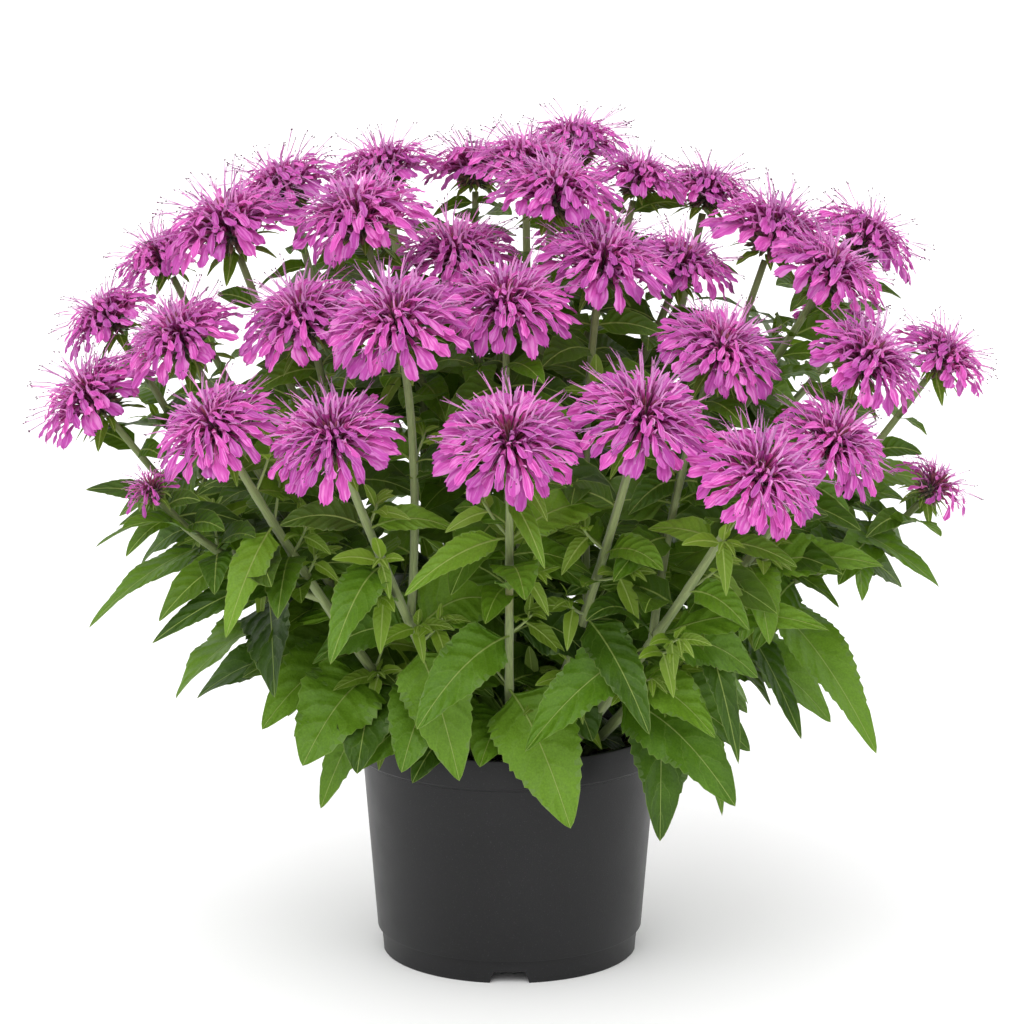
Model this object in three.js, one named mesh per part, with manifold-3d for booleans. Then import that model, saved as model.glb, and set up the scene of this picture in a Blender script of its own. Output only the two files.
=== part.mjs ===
// Potted bee balm: a nursery pot of potting mix with a dense clump of flowering stems.
// Millimetres, +Z up, the origin at the centre of the pot's foot on the ground, the front towards -Y.
import * as THREE from "three";
import { mergeVertices } from "three/addons/utils/BufferGeometryUtils.js";
import Module from "manifold-3d";

const wasm = await Module();
wasm.setup();

// Clear space between pieces that touch, and a little more where one is cut to fit another.
const CLEARANCE = 0.3;
const FITTED_CLEARANCE = 0.4;
// Faces this near to flat are joined into one.
const FLATNESS = 0.01;
const UP = new THREE.Vector3(0, 0, 1);
const TAU = 2 * Math.PI;

// Where the repeatable rows of draws start.
const SEED = { mix: 77, green: 500, bloom: 900, stem: 100, sideStalk: 20, bend: 64 };

// The pot: a thin tapered wall on a stepped foot, with a band round its rim.
const POT = {
  height: 132,
  rimRadius: 86.8,
  bandHeight: 17,
  wallRadiusAtBand: 83.5,
  wallRadiusAtFoot: 75.4,
  footRadius: 72.3,
  footHeight: 13,
  footWidth: 4,
  wall: 1.8,
  lipWidth: 3,
  ledgeDepth: 5,
  floorTop: 15,
  floorThickness: 2,
  sides: 32,
};
const FOOT_NOTCH = { count: 4, widthBelow: 23, widthAbove: 17, height: 6.8 };
const DRAIN = { count: 6, radius: 5, ringRadius: 46, sides: 6 };

// The potting mix: filled to a little below the rim, with a crumbly top.
const SOIL = { top: 119.5, crumb: 1.6, rings: [60, 38, 16] };

// The stems: square in section, rising from a small crown at the middle of the pot.
const STEM = {
  crownHeight: 118,
  crownSpread: 0.22,
  buriedDepth: 16,
  holeTop: 8,
  reachOut: 0.5,
  reachUp: 0.42,
  halfSideBelow: 2.5,
  halfSideAbove: 1.7,
  halfSideOfSide: 1.9,
  longestStep: 0.3,
  leafSeat: 1.7,
  sideReach: 0.45,
  sideLean: 0.0031,
};

// One flower head, drawn at this width across its lower lips and scaled to each head's own.
// Pairs are radius and height above the head's centre, along the head's axis.
const HEAD_WIDTH = 62;
const HEAD = {
  bractCrotch: [5.5, -10.5],
  bractTip: [23, -18],
  waist: [6.5, -8],
  burrCrotch: [9, -5.5],
  burrTip: [13, -4.8],
  seat: [7, 1.2],
  stalkEnd: -15,
  reachSpread: 0.1,
  heightSpread: 0.7,
  turnSpread: 0.08,
};
const BLOOM = {
  petals: 8,
  petalsOfSmall: 6,
  smallWidth: 63,
  collar: 9,
  lipCrotch: [19, 0],
  lipShoulder: [27, -5.5],
  lipShoulderTurn: 0.31,
  lipTip: [35, -11.5],
  lipRoof: [12, 5.5],
  middleCrotch: [18, 5.5],
  middleTip: [30.5, 2.5],
  middleRoof: [9.5, 9.5],
  crownCrotch: [13, 11.5],
  crownTip: [24, 16],
  crownRoof: [4.5, 14],
  reachSpread: 0.1,
  heightSpread: 2,
  turnSpread: 0.07,
};

// The blade of a leaf: a rib with a sharp edge on each side that drops back after every tooth.
const BLADE = {
  halfThickness: 0.55,
  fold: 0.2,
  bendPlace: 0.45,
  outlinePeak: 0.62,
  outlineFullness: 0.9,
  roll: 0.9,
  sideways: 0.3,
  notchStep: 0.04,
  notchDepth: 0.8,
  largeTeeth: [0.15, 0.45, 0.73],
  middleTeeth: [0.2, 0.6],
  smallTeeth: [0.36],
  largeLength: 62,
  middleLength: 42,
};

// Leaf pairs up a stem: where they stand along it, and how long they are there.
const PAIRS = {
  places: [0.15, 0.3, 0.48, 0.68],
  lengths: [58, 80, 66, 46],
  widthShare: 0.5,
  lengthSpread: 0.14,
  turnSpread: 0.5,
  drop: -0.3,
  dropSpread: 0.4,
  archShare: 0.24,
};
const SIDE_PAIR = { place: 0.5, length: 34 };

// A leaf that would touch a neighbour is tried again, bent a little further each time.
const LEAF_TRIES = 12;
const BEND_STEP = 4.5;
const ARCH_STEP = 1.5;
const LEAST_FACING = 0.5;
const SLIM_ROOT = 0.7;

// Flower heads: the centre of each and its width across the lower lips.
const HEADS = [
  [0, -205, 331, 71],
  [68, -192, 341, 70],
  [126, -210, 314, 66],
  [167, -158, 322, 61],
  [-90, -190, 330, 66],
  [-152, -162, 331, 64],
  [-226, -60, 329, 66],
  [-58, -163, 386, 68],
  [-2, -122, 388, 64],
  [50, -86, 406, 64],
  [93, -38, 398, 54],
  [110, -130, 366, 64],
  [188, -119, 359, 63],
  [234, -66, 352, 53],
  [-108, -118, 381, 64],
  [-175, -92, 366, 64],
  [-221, -20, 366, 55],
  [-29, -45, 404, 62],
  [-152, -48, 420, 68],
  [-194, 22, 394, 50],
  [-80, -82, 430, 66],
  [-126, 24, 432, 60],
  [-71, 44, 441, 54],
  [-20, 70, 438, 52],
  [9, 10, 448, 56],
  [24, -56, 440, 62],
  [38, 78, 451, 54],
  [72, 20, 438, 48],
  [146, -8, 412, 66],
  [112, 54, 427, 51],
  [172, -66, 398, 58],
  [200, 36, 402, 56],
  [-190, -118, 290, 33],
  [231, -62, 280, 46],
  [195, 96, 340, 60],
  [118, 190, 318, 60],
  [0, 212, 330, 62],
  [-122, 186, 328, 60],
  [-195, 104, 338, 60],
  [44, 146, 390, 56],
  [-82, 114, 396, 58],
];

// Each stem ends in its first head and forks to the others, at these shares of its length.
// Named leaves give the share of the stem's length they grow at, their tip, their width
// and the height of their arch. A stem that is bare at its foot lacks the lowest pair of leaves.
const STEMS = [
  {
    heads: [1, 9],
    forks: [0.5],
    leaves: [
      { at: 0.3, tip: [33, -120, 108], width: 48, arch: 14 },
      { at: 0.48, tip: [-49, -150, 173], width: 32, arch: 12 },
      { at: 0.76, tip: [-54, -195, 256], width: 17, arch: 7 },
      { at: 0.76, tip: [74, -154, 289], width: 26, arch: 6 },
      { at: 0.88, tip: [18, -216, 272], width: 11, arch: 5 },
      { at: 0.62, tip: [-8, -178, 258], width: 12, arch: 0 },
      { at: 0.2, tip: [-16, -112, 138], width: 34, arch: 12 },
    ],
  },
  {
    heads: [2, 10],
    forks: [0.52],
    leaves: [
      { at: 0.5, tip: [74, -150, 169], width: 26, arch: 10 },
      { at: 0.6, tip: [38, -168, 250], width: 12, arch: 2 },
      { at: 0.25, tip: [58, -106, 130], width: 36, arch: 14 },
    ],
  },
  {
    heads: [3, 12],
    forks: [0.5],
    leaves: [
      { at: 0.52, tip: [168, -152, 229], width: 24, arch: 14 },
      { at: 0.52, tip: [40, -168, 235], width: 22, arch: 20 },
      { at: 0.82, tip: [72, -162, 280], width: 16, arch: 4 },
      { at: 0.82, tip: [148, -192, 267], width: 13, arch: 5 },
      { at: 0.38, tip: [110, -128, 160], width: 30, arch: 12 },
    ],
  },
  {
    heads: [4, 13],
    forks: [0.5],
    leaves: [
      { at: 0.34, tip: [86, -108, 117], width: 43, arch: 12 },
      { at: 0.5, tip: [134, -132, 169], width: 18, arch: 12 },
      { at: 0.66, tip: [200, -112, 250], width: 26, arch: 10 },
    ],
  },
  {
    heads: [5, 8],
    forks: [0.5],
    leaves: [
      { at: 0.44, tip: [-27, -122, 136], width: 39, arch: 10 },
      { at: 0.16, tip: [-53, -98, 127], width: 24, arch: 8 },
      { at: 0.78, tip: [-121, -140, 278], width: 19, arch: 10 },
      { at: 0.78, tip: [-28, -150, 278], width: 16, arch: 9 },
      { at: 0.58, tip: [-79, -160, 250], width: 14, arch: 0 },
      { at: 0.24, tip: [-82, -104, 136], width: 32, arch: 12 },
    ],
  },
  {
    heads: [6, 33],
    forks: [0.55],
    leaves: [
      { at: 0.32, tip: [-112, -108, 139], width: 49, arch: 14 },
      { at: 0.27, tip: [-104, -76, 108], width: 27, arch: 12 },
      { at: 0.76, tip: [-148, -170, 227], width: 22, arch: 8 },
      { at: 0.62, tip: [-190, -132, 216], width: 20, arch: 12 },
      { at: 0.84, tip: [-122, -104, 262], width: 20, arch: 5 },
    ],
  },
  {
    heads: [16, 15],
    forks: [0.5],
    leaves: [{ at: 0.4, tip: [-195, -82, 196], width: 24, arch: 16 }],
  },
  {
    heads: [7, 17],
    forks: [0.55],
    leaves: [
      { at: 0.42, tip: [-182, -84, 174], width: 40, arch: 16 },
      { at: 0.64, tip: [-228, -88, 214], width: 22, arch: 10 },
      { at: 0.72, tip: [-222, -100, 260], width: 14, arch: 4 },
      { at: 0.72, tip: [-240, -34, 262], width: 14, arch: 6 },
    ],
  },
  {
    heads: [14, 34],
    forks: [0.45],
    leaves: [
      { at: 0.46, tip: [200, -92, 147], width: 40, arch: 18 },
      { at: 0.4, tip: [160, -78, 145], width: 22, arch: 12 },
      { at: 0.26, tip: [118, -60, 100], width: 23, arch: 14 },
      { at: 0.64, tip: [232, -92, 234], width: 28, arch: 12 },
      { at: 0.74, tip: [240, -24, 276], width: 20, arch: 6 },
    ],
  },
  { heads: [26, 18, 21], forks: [0.55, 0.42], leaves: [] },
  { heads: [19, 22], forks: [0.55], bareFoot: true, leaves: [] },
  { heads: [29, 31], forks: [0.55], bareFoot: true, leaves: [] },
  { heads: [25, 11, 28], forks: [0.42, 0.55], bareFoot: true, leaves: [] },
  {
    heads: [20, 39, 38],
    forks: [0.43, 0.32],
    bareFoot: true,
    leaves: [
      { at: 0.22, tip: [-130, 74, 122], width: 38, arch: 14 },
      { at: 0.38, tip: [-112, 118, 176], width: 32, arch: 12 },
      { at: 0.56, tip: [-196, 72, 232], width: 28, arch: 12 },
    ],
  },
  {
    heads: [23, 24, 41],
    forks: [0.55, 0.45],
    bareFoot: true,
    leaves: [
      { at: 0.2, tip: [-64, 110, 118], width: 42, arch: 14 },
      { at: 0.36, tip: [-26, 128, 168], width: 34, arch: 12 },
      { at: 0.52, tip: [-84, 126, 238], width: 26, arch: 10 },
    ],
  },
  {
    heads: [27, 40, 37],
    forks: [0.5, 0.38],
    bareFoot: true,
    leaves: [
      { at: 0.12, tip: [-12, 118, 104], width: 38, arch: 12 },
      { at: 0.24, tip: [42, 124, 126], width: 40, arch: 14 },
      { at: 0.44, tip: [66, 134, 216], width: 28, arch: 12 },
      { at: 0.6, tip: [4, 138, 268], width: 22, arch: 10 },
    ],
  },
  {
    heads: [30, 32, 35, 36],
    forks: [0.55, 0.45, 0.36],
    bareFoot: true,
    leaves: [
      { at: 0.2, tip: [98, 104, 118], width: 42, arch: 14 },
      { at: 0.27, tip: [138, 48, 130], width: 38, arch: 14 },
      { at: 0.41, tip: [150, 108, 196], width: 30, arch: 12 },
      { at: 0.51, tip: [196, 40, 246], width: 26, arch: 12 },
    ],
  },
];

// Looks of each kind of piece.
const plastic = new THREE.MeshStandardMaterial({ color: 0x1d1e20, roughness: 0.45 });
const mix = new THREE.MeshStandardMaterial({ color: 0x1b120c, roughness: 1 });
const foliage = new THREE.MeshStandardMaterial({ color: 0x4c7a35, roughness: 0.55, flatShading: true });
const petals = new THREE.MeshStandardMaterial({ color: 0xc855c0, roughness: 0.6, flatShading: true });

// A repeatable row of draws between 0 and 1.
function draws(seed) {
  let state = seed >>> 0;
  return () => {
    state = (state + 0x6d2b79f5) >>> 0;
    let mixed = state;
    mixed = Math.imul(mixed ^ (mixed >>> 15), mixed | 1);
    mixed ^= mixed + Math.imul(mixed ^ (mixed >>> 7), mixed | 61);
    return ((mixed ^ (mixed >>> 14)) >>> 0) / 4294967296;
  };
}

// A draw between -spread and +spread.
function spreadDraw(draw, spread) {
  return (2 * draw() - 1) * spread;
}

// A solid from points and faces that already close on each other.
function solidFrom(points, faces) {
  const vertProperties = new Float32Array(points.flatMap((point) => point.toArray()));
  const triVerts = new Uint32Array(faces.flat());
  return new wasm.Manifold(new wasm.Mesh({ numProp: 3, vertProperties, triVerts }));
}

// A solid from a closed geometry, moved by a matrix.
function solidOf(geometry, matrix = new THREE.Matrix4()) {
  const bare = new THREE.BufferGeometry();
  bare.setAttribute("position", geometry.getAttribute("position").clone());
  bare.setIndex(geometry.getIndex());
  const merged = mergeVertices(bare.applyMatrix4(matrix), 1e-3);
  const index = merged.getIndex().array;
  const kept = [];
  for (let i = 0; i < index.length; i += 3) {
    const [a, b, c] = index.subarray(i, i + 3);
    if (a !== b && b !== c && c !== a) kept.push(a, b, c);
  }
  const vertProperties = merged.getAttribute("position").array;
  return new wasm.Manifold(new wasm.Mesh({ numProp: 3, vertProperties, triVerts: new Uint32Array(kept) }));
}

// The drawable geometry of a solid.
function geometryOf(solid) {
  const mesh = solid.getMesh();
  const geometry = new THREE.BufferGeometry();
  geometry.setAttribute("position", new THREE.BufferAttribute(new Float32Array(mesh.vertProperties), 3));
  geometry.setIndex(new THREE.BufferAttribute(new Uint32Array(mesh.triVerts), 1));
  geometry.computeVertexNormals();
  return geometry;
}

// A named piece of the plant.
function piece(name, geometry, material) {
  const mesh = new THREE.Mesh(geometry, material);
  mesh.name = name;
  return mesh;
}

// Turns a lathe profile of radius and height pairs about the upright axis.
function turned(profile) {
  const outline = profile.map(([radius, height]) => new THREE.Vector2(radius, height));
  return new THREE.LatheGeometry(outline, POT.sides).rotateX(Math.PI / 2);
}

// Radius of the pot's inner wall at a height.
function innerRadius(height) {
  const low = POT.footHeight + POT.floorThickness;
  const high = POT.height - POT.ledgeDepth;
  const share = (height - low) / (high - low);
  const lowRadius = POT.wallRadiusAtFoot - POT.wall;
  const highRadius = POT.wallRadiusAtBand - POT.wall;
  return lowRadius + share * (highRadius - lowRadius);
}

// The pot: its turned wall with the foot slots and drain holes cut away.
function potSolid() {
  const band = POT.height - POT.bandHeight;
  const underFloor = POT.floorTop - POT.floorThickness;
  const lip = POT.rimRadius - POT.lipWidth;
  const ledge = POT.height - POT.ledgeDepth;
  const softening = 0.8;
  const wall = solidOf(
    turned([
      [0, underFloor],
      [POT.footRadius - POT.footWidth, underFloor],
      [POT.footRadius - POT.footWidth, 0],
      [POT.footRadius, 0],
      [POT.footRadius + softening, POT.footHeight],
      [POT.wallRadiusAtFoot, POT.footHeight + softening],
      [POT.wallRadiusAtBand, band],
      [POT.rimRadius, band],
      [POT.rimRadius, POT.height],
      [lip, POT.height],
      [lip, ledge],
      [innerRadius(ledge), ledge],
      [innerRadius(POT.floorTop), POT.floorTop],
      [0, POT.floorTop],
    ]),
  );
  return wall.subtract(wasm.Manifold.union([...footNotches(), ...drainHoles()]));
}

// The slots, narrower above, that let water out from under the foot.
function footNotches() {
  const below = FOOT_NOTCH.widthBelow / 2;
  const above = FOOT_NOTCH.widthAbove / 2;
  const reach = 3 * POT.footWidth;
  const outline = new THREE.Shape([
    new THREE.Vector2(-below, -CLEARANCE),
    new THREE.Vector2(below, -CLEARANCE),
    new THREE.Vector2(above, FOOT_NOTCH.height),
    new THREE.Vector2(-above, FOOT_NOTCH.height),
  ]);
  const bar = new THREE.ExtrudeGeometry(outline, { depth: reach, bevelEnabled: false });
  bar.rotateX(Math.PI / 2).translate(0, reach / 2 - POT.footRadius, 0);
  return Array.from({ length: FOOT_NOTCH.count }, (_, i) => {
    const turn = new THREE.Matrix4().makeRotationZ((i * TAU) / FOOT_NOTCH.count);
    return solidOf(bar, turn);
  });
}

// The holes through the floor of the pot.
function drainHoles() {
  const { count, radius, ringRadius, sides } = DRAIN;
  const hole = new THREE.CylinderGeometry(radius, radius, 3 * POT.floorThickness, sides);
  hole.rotateX(Math.PI / 2).translate(ringRadius, 0, POT.floorTop - POT.floorThickness / 2);
  return Array.from({ length: count }, (_, i) => {
    const turn = new THREE.Matrix4().makeRotationZ(((i + 0.5) * TAU) / count);
    return solidOf(hole, turn);
  });
}

// The potting mix fills the pot, and every stem stands in a plain hole in it.
function soilSolid(stems) {
  const bottom = POT.floorTop + CLEARANCE;
  const draw = draws(SEED.mix);
  const points = [new THREE.Vector3(0, 0, bottom)];
  const faces = [];
  const ring = (radius, height, crumb) => {
    for (let i = 0; i < POT.sides; i++) {
      const angle = (i * TAU) / POT.sides;
      const z = height + spreadDraw(draw, crumb);
      points.push(new THREE.Vector3(radius * Math.sin(angle), -radius * Math.cos(angle), z));
    }
  };
  ring(innerRadius(bottom) - FITTED_CLEARANCE, bottom, 0);
  ring(innerRadius(SOIL.top) - FITTED_CLEARANCE, SOIL.top, 0);
  SOIL.rings.forEach((radius) => ring(radius, SOIL.top, SOIL.crumb));
  points.push(new THREE.Vector3(0, 0, SOIL.top));
  const rings = SOIL.rings.length + 2;
  const start = (level) => 1 + level * POT.sides;
  const centre = points.length - 1;
  for (let i = 0; i < POT.sides; i++) {
    const next = (i + 1) % POT.sides;
    faces.push([0, start(0) + next, start(0) + i]);
    for (let level = 0; level + 1 < rings; level++) {
      faces.push([start(level) + i, start(level) + next, start(level + 1) + next]);
      faces.push([start(level) + i, start(level + 1) + next, start(level + 1) + i]);
    }
    faces.push([start(rings - 1) + i, start(rings - 1) + next, centre]);
  }
  return solidFrom(points, faces).subtract(wasm.Manifold.union(stems.map(stemHole)));
}

// A plain square hole a little wider than the foot of a stem.
function stemHole(stem) {
  const along = stem.path.getTangent(0);
  const across = acrossOf(stem.path);
  const halfSide = STEM.halfSideBelow + FITTED_CLEARANCE;
  const ends = [-STEM.buriedDepth - CLEARANCE, STEM.holeTop];
  const points = ends.flatMap((reach) => {
    return squareCorners(stem.path.v0.clone().addScaledVector(along, reach), along, across, halfSide);
  });
  const faces = [];
  for (let side = 0; side < 4; side++) {
    const next = (side + 1) % 4;
    addQuad(faces, [side, next, next + 4, side + 4]);
  }
  addQuad(faces, [0, 3, 2, 1]);
  addQuad(faces, [4, 5, 6, 7]);
  return solidFrom(points, faces);
}

// The level direction across a curve, square to the plane it bends in.
function acrossOf(path) {
  const first = new THREE.Vector3().subVectors(path.v1, path.v0);
  const second = new THREE.Vector3().subVectors(path.v2, path.v1);
  return first.cross(second).normalize();
}

// The centre of a numbered flower head.
function headPoint(number) {
  const [x, y, z] = HEADS[number - 1];
  return new THREE.Vector3(x, y, z);
}

// The main curve of a stem leans out of the crown and bends up to its first head.
function mainPath(heads) {
  const middle = new THREE.Vector3();
  heads.forEach((number) => middle.addScaledVector(headPoint(number), 1 / heads.length));
  const spread = STEM.crownSpread;
  const foot = new THREE.Vector3(spread * middle.x, spread * middle.y, STEM.crownHeight);
  const top = headPoint(heads[0]);
  const bend = new THREE.Vector3(
    foot.x + STEM.reachOut * (top.x - foot.x),
    foot.y + STEM.reachOut * (top.y - foot.y),
    foot.z + STEM.reachUp * (top.z - foot.z),
  );
  return new THREE.QuadraticBezierCurve3(foot, bend, top);
}

// A side stem leaves the main one and bends over to its own head, which leans out from the middle
// of the plant.
function sidePath(main, share, number) {
  const start = main.getPoint(share);
  const top = headPoint(number);
  const facing = new THREE.Vector3(STEM.sideLean * top.x, STEM.sideLean * top.y, 1).normalize();
  const bend = top.clone().addScaledVector(facing, -STEM.sideReach * start.distanceTo(top));
  return new THREE.QuadraticBezierCurve3(start, bend, top);
}

// A level ring of points round the axis of a flower head.
function levelRing(points, [radius, height], count, turn, scale) {
  const first = points.length;
  for (let i = 0; i < count; i++) {
    const angle = turn + (i * TAU) / count;
    points.push(
      new THREE.Vector3(radius * Math.cos(angle), radius * Math.sin(angle), height).multiplyScalar(scale),
    );
  }
  return Array.from({ length: count }, (_, i) => first + i);
}

// A ring of pointed blades. Each blade starts at a crotch, and its outline passes its tip.
function bladeRing(points, crotch, outline, count, turn, scale, spreads, draw) {
  const ring = [];
  for (let i = 0; i < count; i++) {
    const reach = 1 - draw() * spreads.reachSpread;
    const lift = spreadDraw(draw, spreads.heightSpread);
    const skew = spreadDraw(draw, spreads.turnSpread);
    const middle = turn + ((i + 0.5) * TAU) / count;
    const corners = [[crotch[0], crotch[1], middle - Math.PI / count, true]];
    outline.forEach(([radius, height, aside]) => {
      const share = radius / outline[Math.floor(outline.length / 2)][0];
      corners.push([radius * reach, height + lift * share, middle + aside + skew, false]);
    });
    corners.forEach(([radius, height, angle, isCrotch]) => {
      const flat = new THREE.Vector3(radius * Math.cos(angle), radius * Math.sin(angle), height);
      ring.push({ index: points.length, isCrotch, isTip: false });
      points.push(flat.multiplyScalar(scale));
    });
    ring[ring.length - Math.ceil(outline.length / 2)].isTip = true;
  }
  return ring;
}

// Joins a level ring to a ring of blades. The level ring steps on where the blades pass a turning point.
function joinRings(faces, level, blades, turnsAtCrotch, facesUp) {
  const count = level.length;
  let step = turnsAtCrotch ? count - 1 : 0;
  const add = (a, b, c) => faces.push(facesUp ? [a, b, c] : [a, c, b]);
  blades.forEach((corner, i) => {
    const next = blades[(i + 1) % blades.length];
    if (turnsAtCrotch ? corner.isCrotch : corner.isTip) {
      const after = (step + 1) % count;
      add(level[step], corner.index, level[after]);
      step = after;
    }
    add(level[step], corner.index, next.index);
  });
}

// A flat cap over a level ring.
function capRing(faces, level, facesUp) {
  for (let i = 1; i + 1 < level.length; i++) {
    faces.push(facesUp ? [level[0], level[i], level[i + 1]] : [level[0], level[i + 1], level[i]]);
  }
}

// The coloured part of a flower head: broad lower lips, a middle whorl, and a crown of upright lips.
function bloomSolid(head) {
  const { scale } = head;
  const count = head.width < BLOOM.smallWidth ? BLOOM.petalsOfSmall : BLOOM.petals;
  const draw = draws(SEED.bloom + head.number);
  const turn = draw() * TAU;
  const half = Math.PI / count;
  const collar = [BLOOM.collar, HEAD.seat[1] + CLEARANCE / scale];
  const lip = [
    [...BLOOM.lipShoulder, -BLOOM.lipShoulderTurn],
    [...BLOOM.lipTip, 0],
    [...BLOOM.lipShoulder, BLOOM.lipShoulderTurn],
  ];
  const whorls = [
    { crotch: BLOOM.lipCrotch, outline: lip, roof: BLOOM.lipRoof },
    { crotch: BLOOM.middleCrotch, outline: [[...BLOOM.middleTip, 0]], roof: BLOOM.middleRoof },
    { crotch: BLOOM.crownCrotch, outline: [[...BLOOM.crownTip, 0]], roof: BLOOM.crownRoof },
  ];
  const points = [];
  const faces = [];
  let below = levelRing(points, collar, count, turn, scale);
  capRing(faces, below, false);
  whorls.forEach(({ crotch, outline, roof }, i) => {
    const start = turn + i * half;
    const blades = bladeRing(points, crotch, outline, count, start, scale, BLOOM, draw);
    joinRings(faces, below, blades, false, false);
    below = levelRing(points, roof, count, start + half, scale);
    joinRings(faces, below, blades, true, true);
  });
  capRing(faces, below, true);
  return solidFrom(points, faces);
}

// The surface of a leaf from its first tooth to its tip, split alike above and below.
// Returns the open ring at its first tooth.
function addBlade(points, faces, leaf) {
  const stations = leaf.teeth.map((share) => bladeStation(points, leaf, share));
  const tip = points.push(leaf.tip.clone()) - 1;
  const bothFaces = (a, aBelow, b, bBelow, c, cBelow) => faces.push([a, b, c], [aBelow, cBelow, bBelow]);
  stations.forEach((here, i) => {
    const next = stations[i + 1] ?? { top: tip, bottom: tip, left: tip, right: tip };
    let { left, right } = here;
    if (i > 0) {
      const share = leaf.teeth[i] + BLADE.notchStep;
      const halfWidth = bladeHalfWidth(leaf, share) * BLADE.notchDepth;
      left = bladeEdge(points, leaf, share, halfWidth);
      right = bladeEdge(points, leaf, share, -halfWidth);
      bothFaces(here.top, here.bottom, left, left, here.left, here.left);
      bothFaces(here.top, here.bottom, here.right, here.right, right, right);
    }
    bothFaces(here.top, here.bottom, next.top, next.bottom, left, left);
    bothFaces(here.top, here.bottom, right, right, next.top, next.bottom);
    if (next.left !== tip) {
      bothFaces(next.top, next.bottom, next.left, next.left, left, left);
      bothFaces(next.top, next.bottom, right, right, next.right, next.right);
    }
  });
  return stations[0];
}

// Half the width of a leaf at a share of its length.
function bladeHalfWidth(leaf, share) {
  return (leaf.width / 2) * Math.sin(Math.PI * share ** BLADE.outlinePeak) ** BLADE.outlineFullness;
}

// The middle, leftward and upward directions of a leaf at a share of its rib.
function bladeFrame(leaf, share) {
  const rib = new THREE.QuadraticBezierCurve3(leaf.root, leaf.bend, leaf.tip);
  const above = new THREE.Vector3().crossVectors(rib.getTangent(share), leaf.level);
  const side = leaf.level.clone().multiplyScalar(Math.cos(leaf.roll));
  side.addScaledVector(above, -Math.sin(leaf.roll));
  const up = above.multiplyScalar(Math.cos(leaf.roll)).addScaledVector(leaf.level, Math.sin(leaf.roll));
  return { centre: rib.getPoint(share), side, up };
}

// Adds a point on the edge of a leaf, to the left where the half width is positive.
function bladeEdge(points, leaf, share, halfWidth) {
  const { centre, side, up } = bladeFrame(leaf, share);
  centre.addScaledVector(side, halfWidth).addScaledVector(up, BLADE.fold * Math.abs(halfWidth));
  return points.push(centre) - 1;
}

// Adds the four points across a leaf: on the rib above and below, and on both edges.
function bladeStation(points, leaf, share) {
  const halfWidth = bladeHalfWidth(leaf, share);
  const { centre, up } = bladeFrame(leaf, share);
  const top = points.push(centre.clone().addScaledVector(up, BLADE.halfThickness)) - 1;
  const bottom = points.push(centre.clone().addScaledVector(up, -BLADE.halfThickness)) - 1;
  const left = bladeEdge(points, leaf, share, halfWidth);
  const right = bladeEdge(points, leaf, share, -halfWidth);
  return { top, bottom, left, right };
}

// A leaf alone, closed where it leaves its stalk, there drawn in to a share of its size.
// With no root at all it is closed at its first tooth.
function leafSolid(leaf, stalk, rootSize) {
  const points = [];
  const faces = [];
  if (rootSize > 0) {
    const seat = seatShare(stalk);
    const low = cornersAt(stalk, leaf.at - seat);
    const high = cornersAt(stalk, leaf.at + seat);
    const next = (leaf.side + 1) % 4;
    const corners = [low[leaf.side], low[next], high[next], high[leaf.side]];
    points.push(...corners.map((corner) => leaf.root.clone().lerp(corner, rootSize)));
    addQuad(faces, [0, 3, 2, 1]);
    addLeaf(points, faces, [0, 1, 2, 3], leaf);
  } else {
    const { top, left, bottom, right } = addBlade(points, faces, leaf);
    addQuad(faces, [top, left, bottom, right]);
  }
  return solidFrom(points, faces);
}

// One way to bend a leaf: the first is as drawn, and the later ones stray further from it.
// The leaf grows from the free side of its stalk that faces its tip best, and is rolled to show
// its upper face to the front, the back or the nearer side of the plant.
function bentLeaf(wanted, seed, attempt) {
  const draw = draws(seed * SEED.bend + attempt);
  const stray = BEND_STEP * attempt;
  const shift = new THREE.Vector3(
    spreadDraw(draw, stray),
    spreadDraw(draw, stray),
    spreadDraw(draw, stray),
  );
  const arch = wanted.arch + spreadDraw(draw, ARCH_STEP * attempt);
  const { stalk, at, width } = wanted;
  const tip = wanted.tip.clone().add(shift);
  const middle = stalk.path.getPoint(at);
  const heading = new THREE.Vector3().subVectors(tip, middle).normalize();
  const taken = stalk.grown.filter((leaf) => leaf.at === at).map((leaf) => leaf.side);
  const facings = sideDirections(stalk, at).map((direction, side) => {
    return { side, direction, facing: taken.includes(side) ? -1 : direction.dot(heading) };
  });
  const best = facings.reduce((a, b) => (b.facing > a.facing ? b : a));
  if (best.facing < LEAST_FACING) return null;
  const root = middle.addScaledVector(best.direction, stalkHalfSide(stalk, at));
  const bend = root.clone().lerp(tip, BLADE.bendPlace).addScaledVector(UP, arch);
  const length = root.distanceTo(tip);
  let teeth = BLADE.smallTeeth;
  if (length > BLADE.largeLength) teeth = BLADE.largeTeeth;
  else if (length > BLADE.middleLength) teeth = BLADE.middleTeeth;
  const level = new THREE.Vector3(root.y - tip.y, tip.x - root.x, 0).normalize();
  const shown = new THREE.Vector3(BLADE.sideways * root.x, root.y, 0).normalize();
  const roll = BLADE.roll * level.dot(shown);
  return { at, side: best.side, root, bend, tip, width, level, roll, teeth };
}

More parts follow.
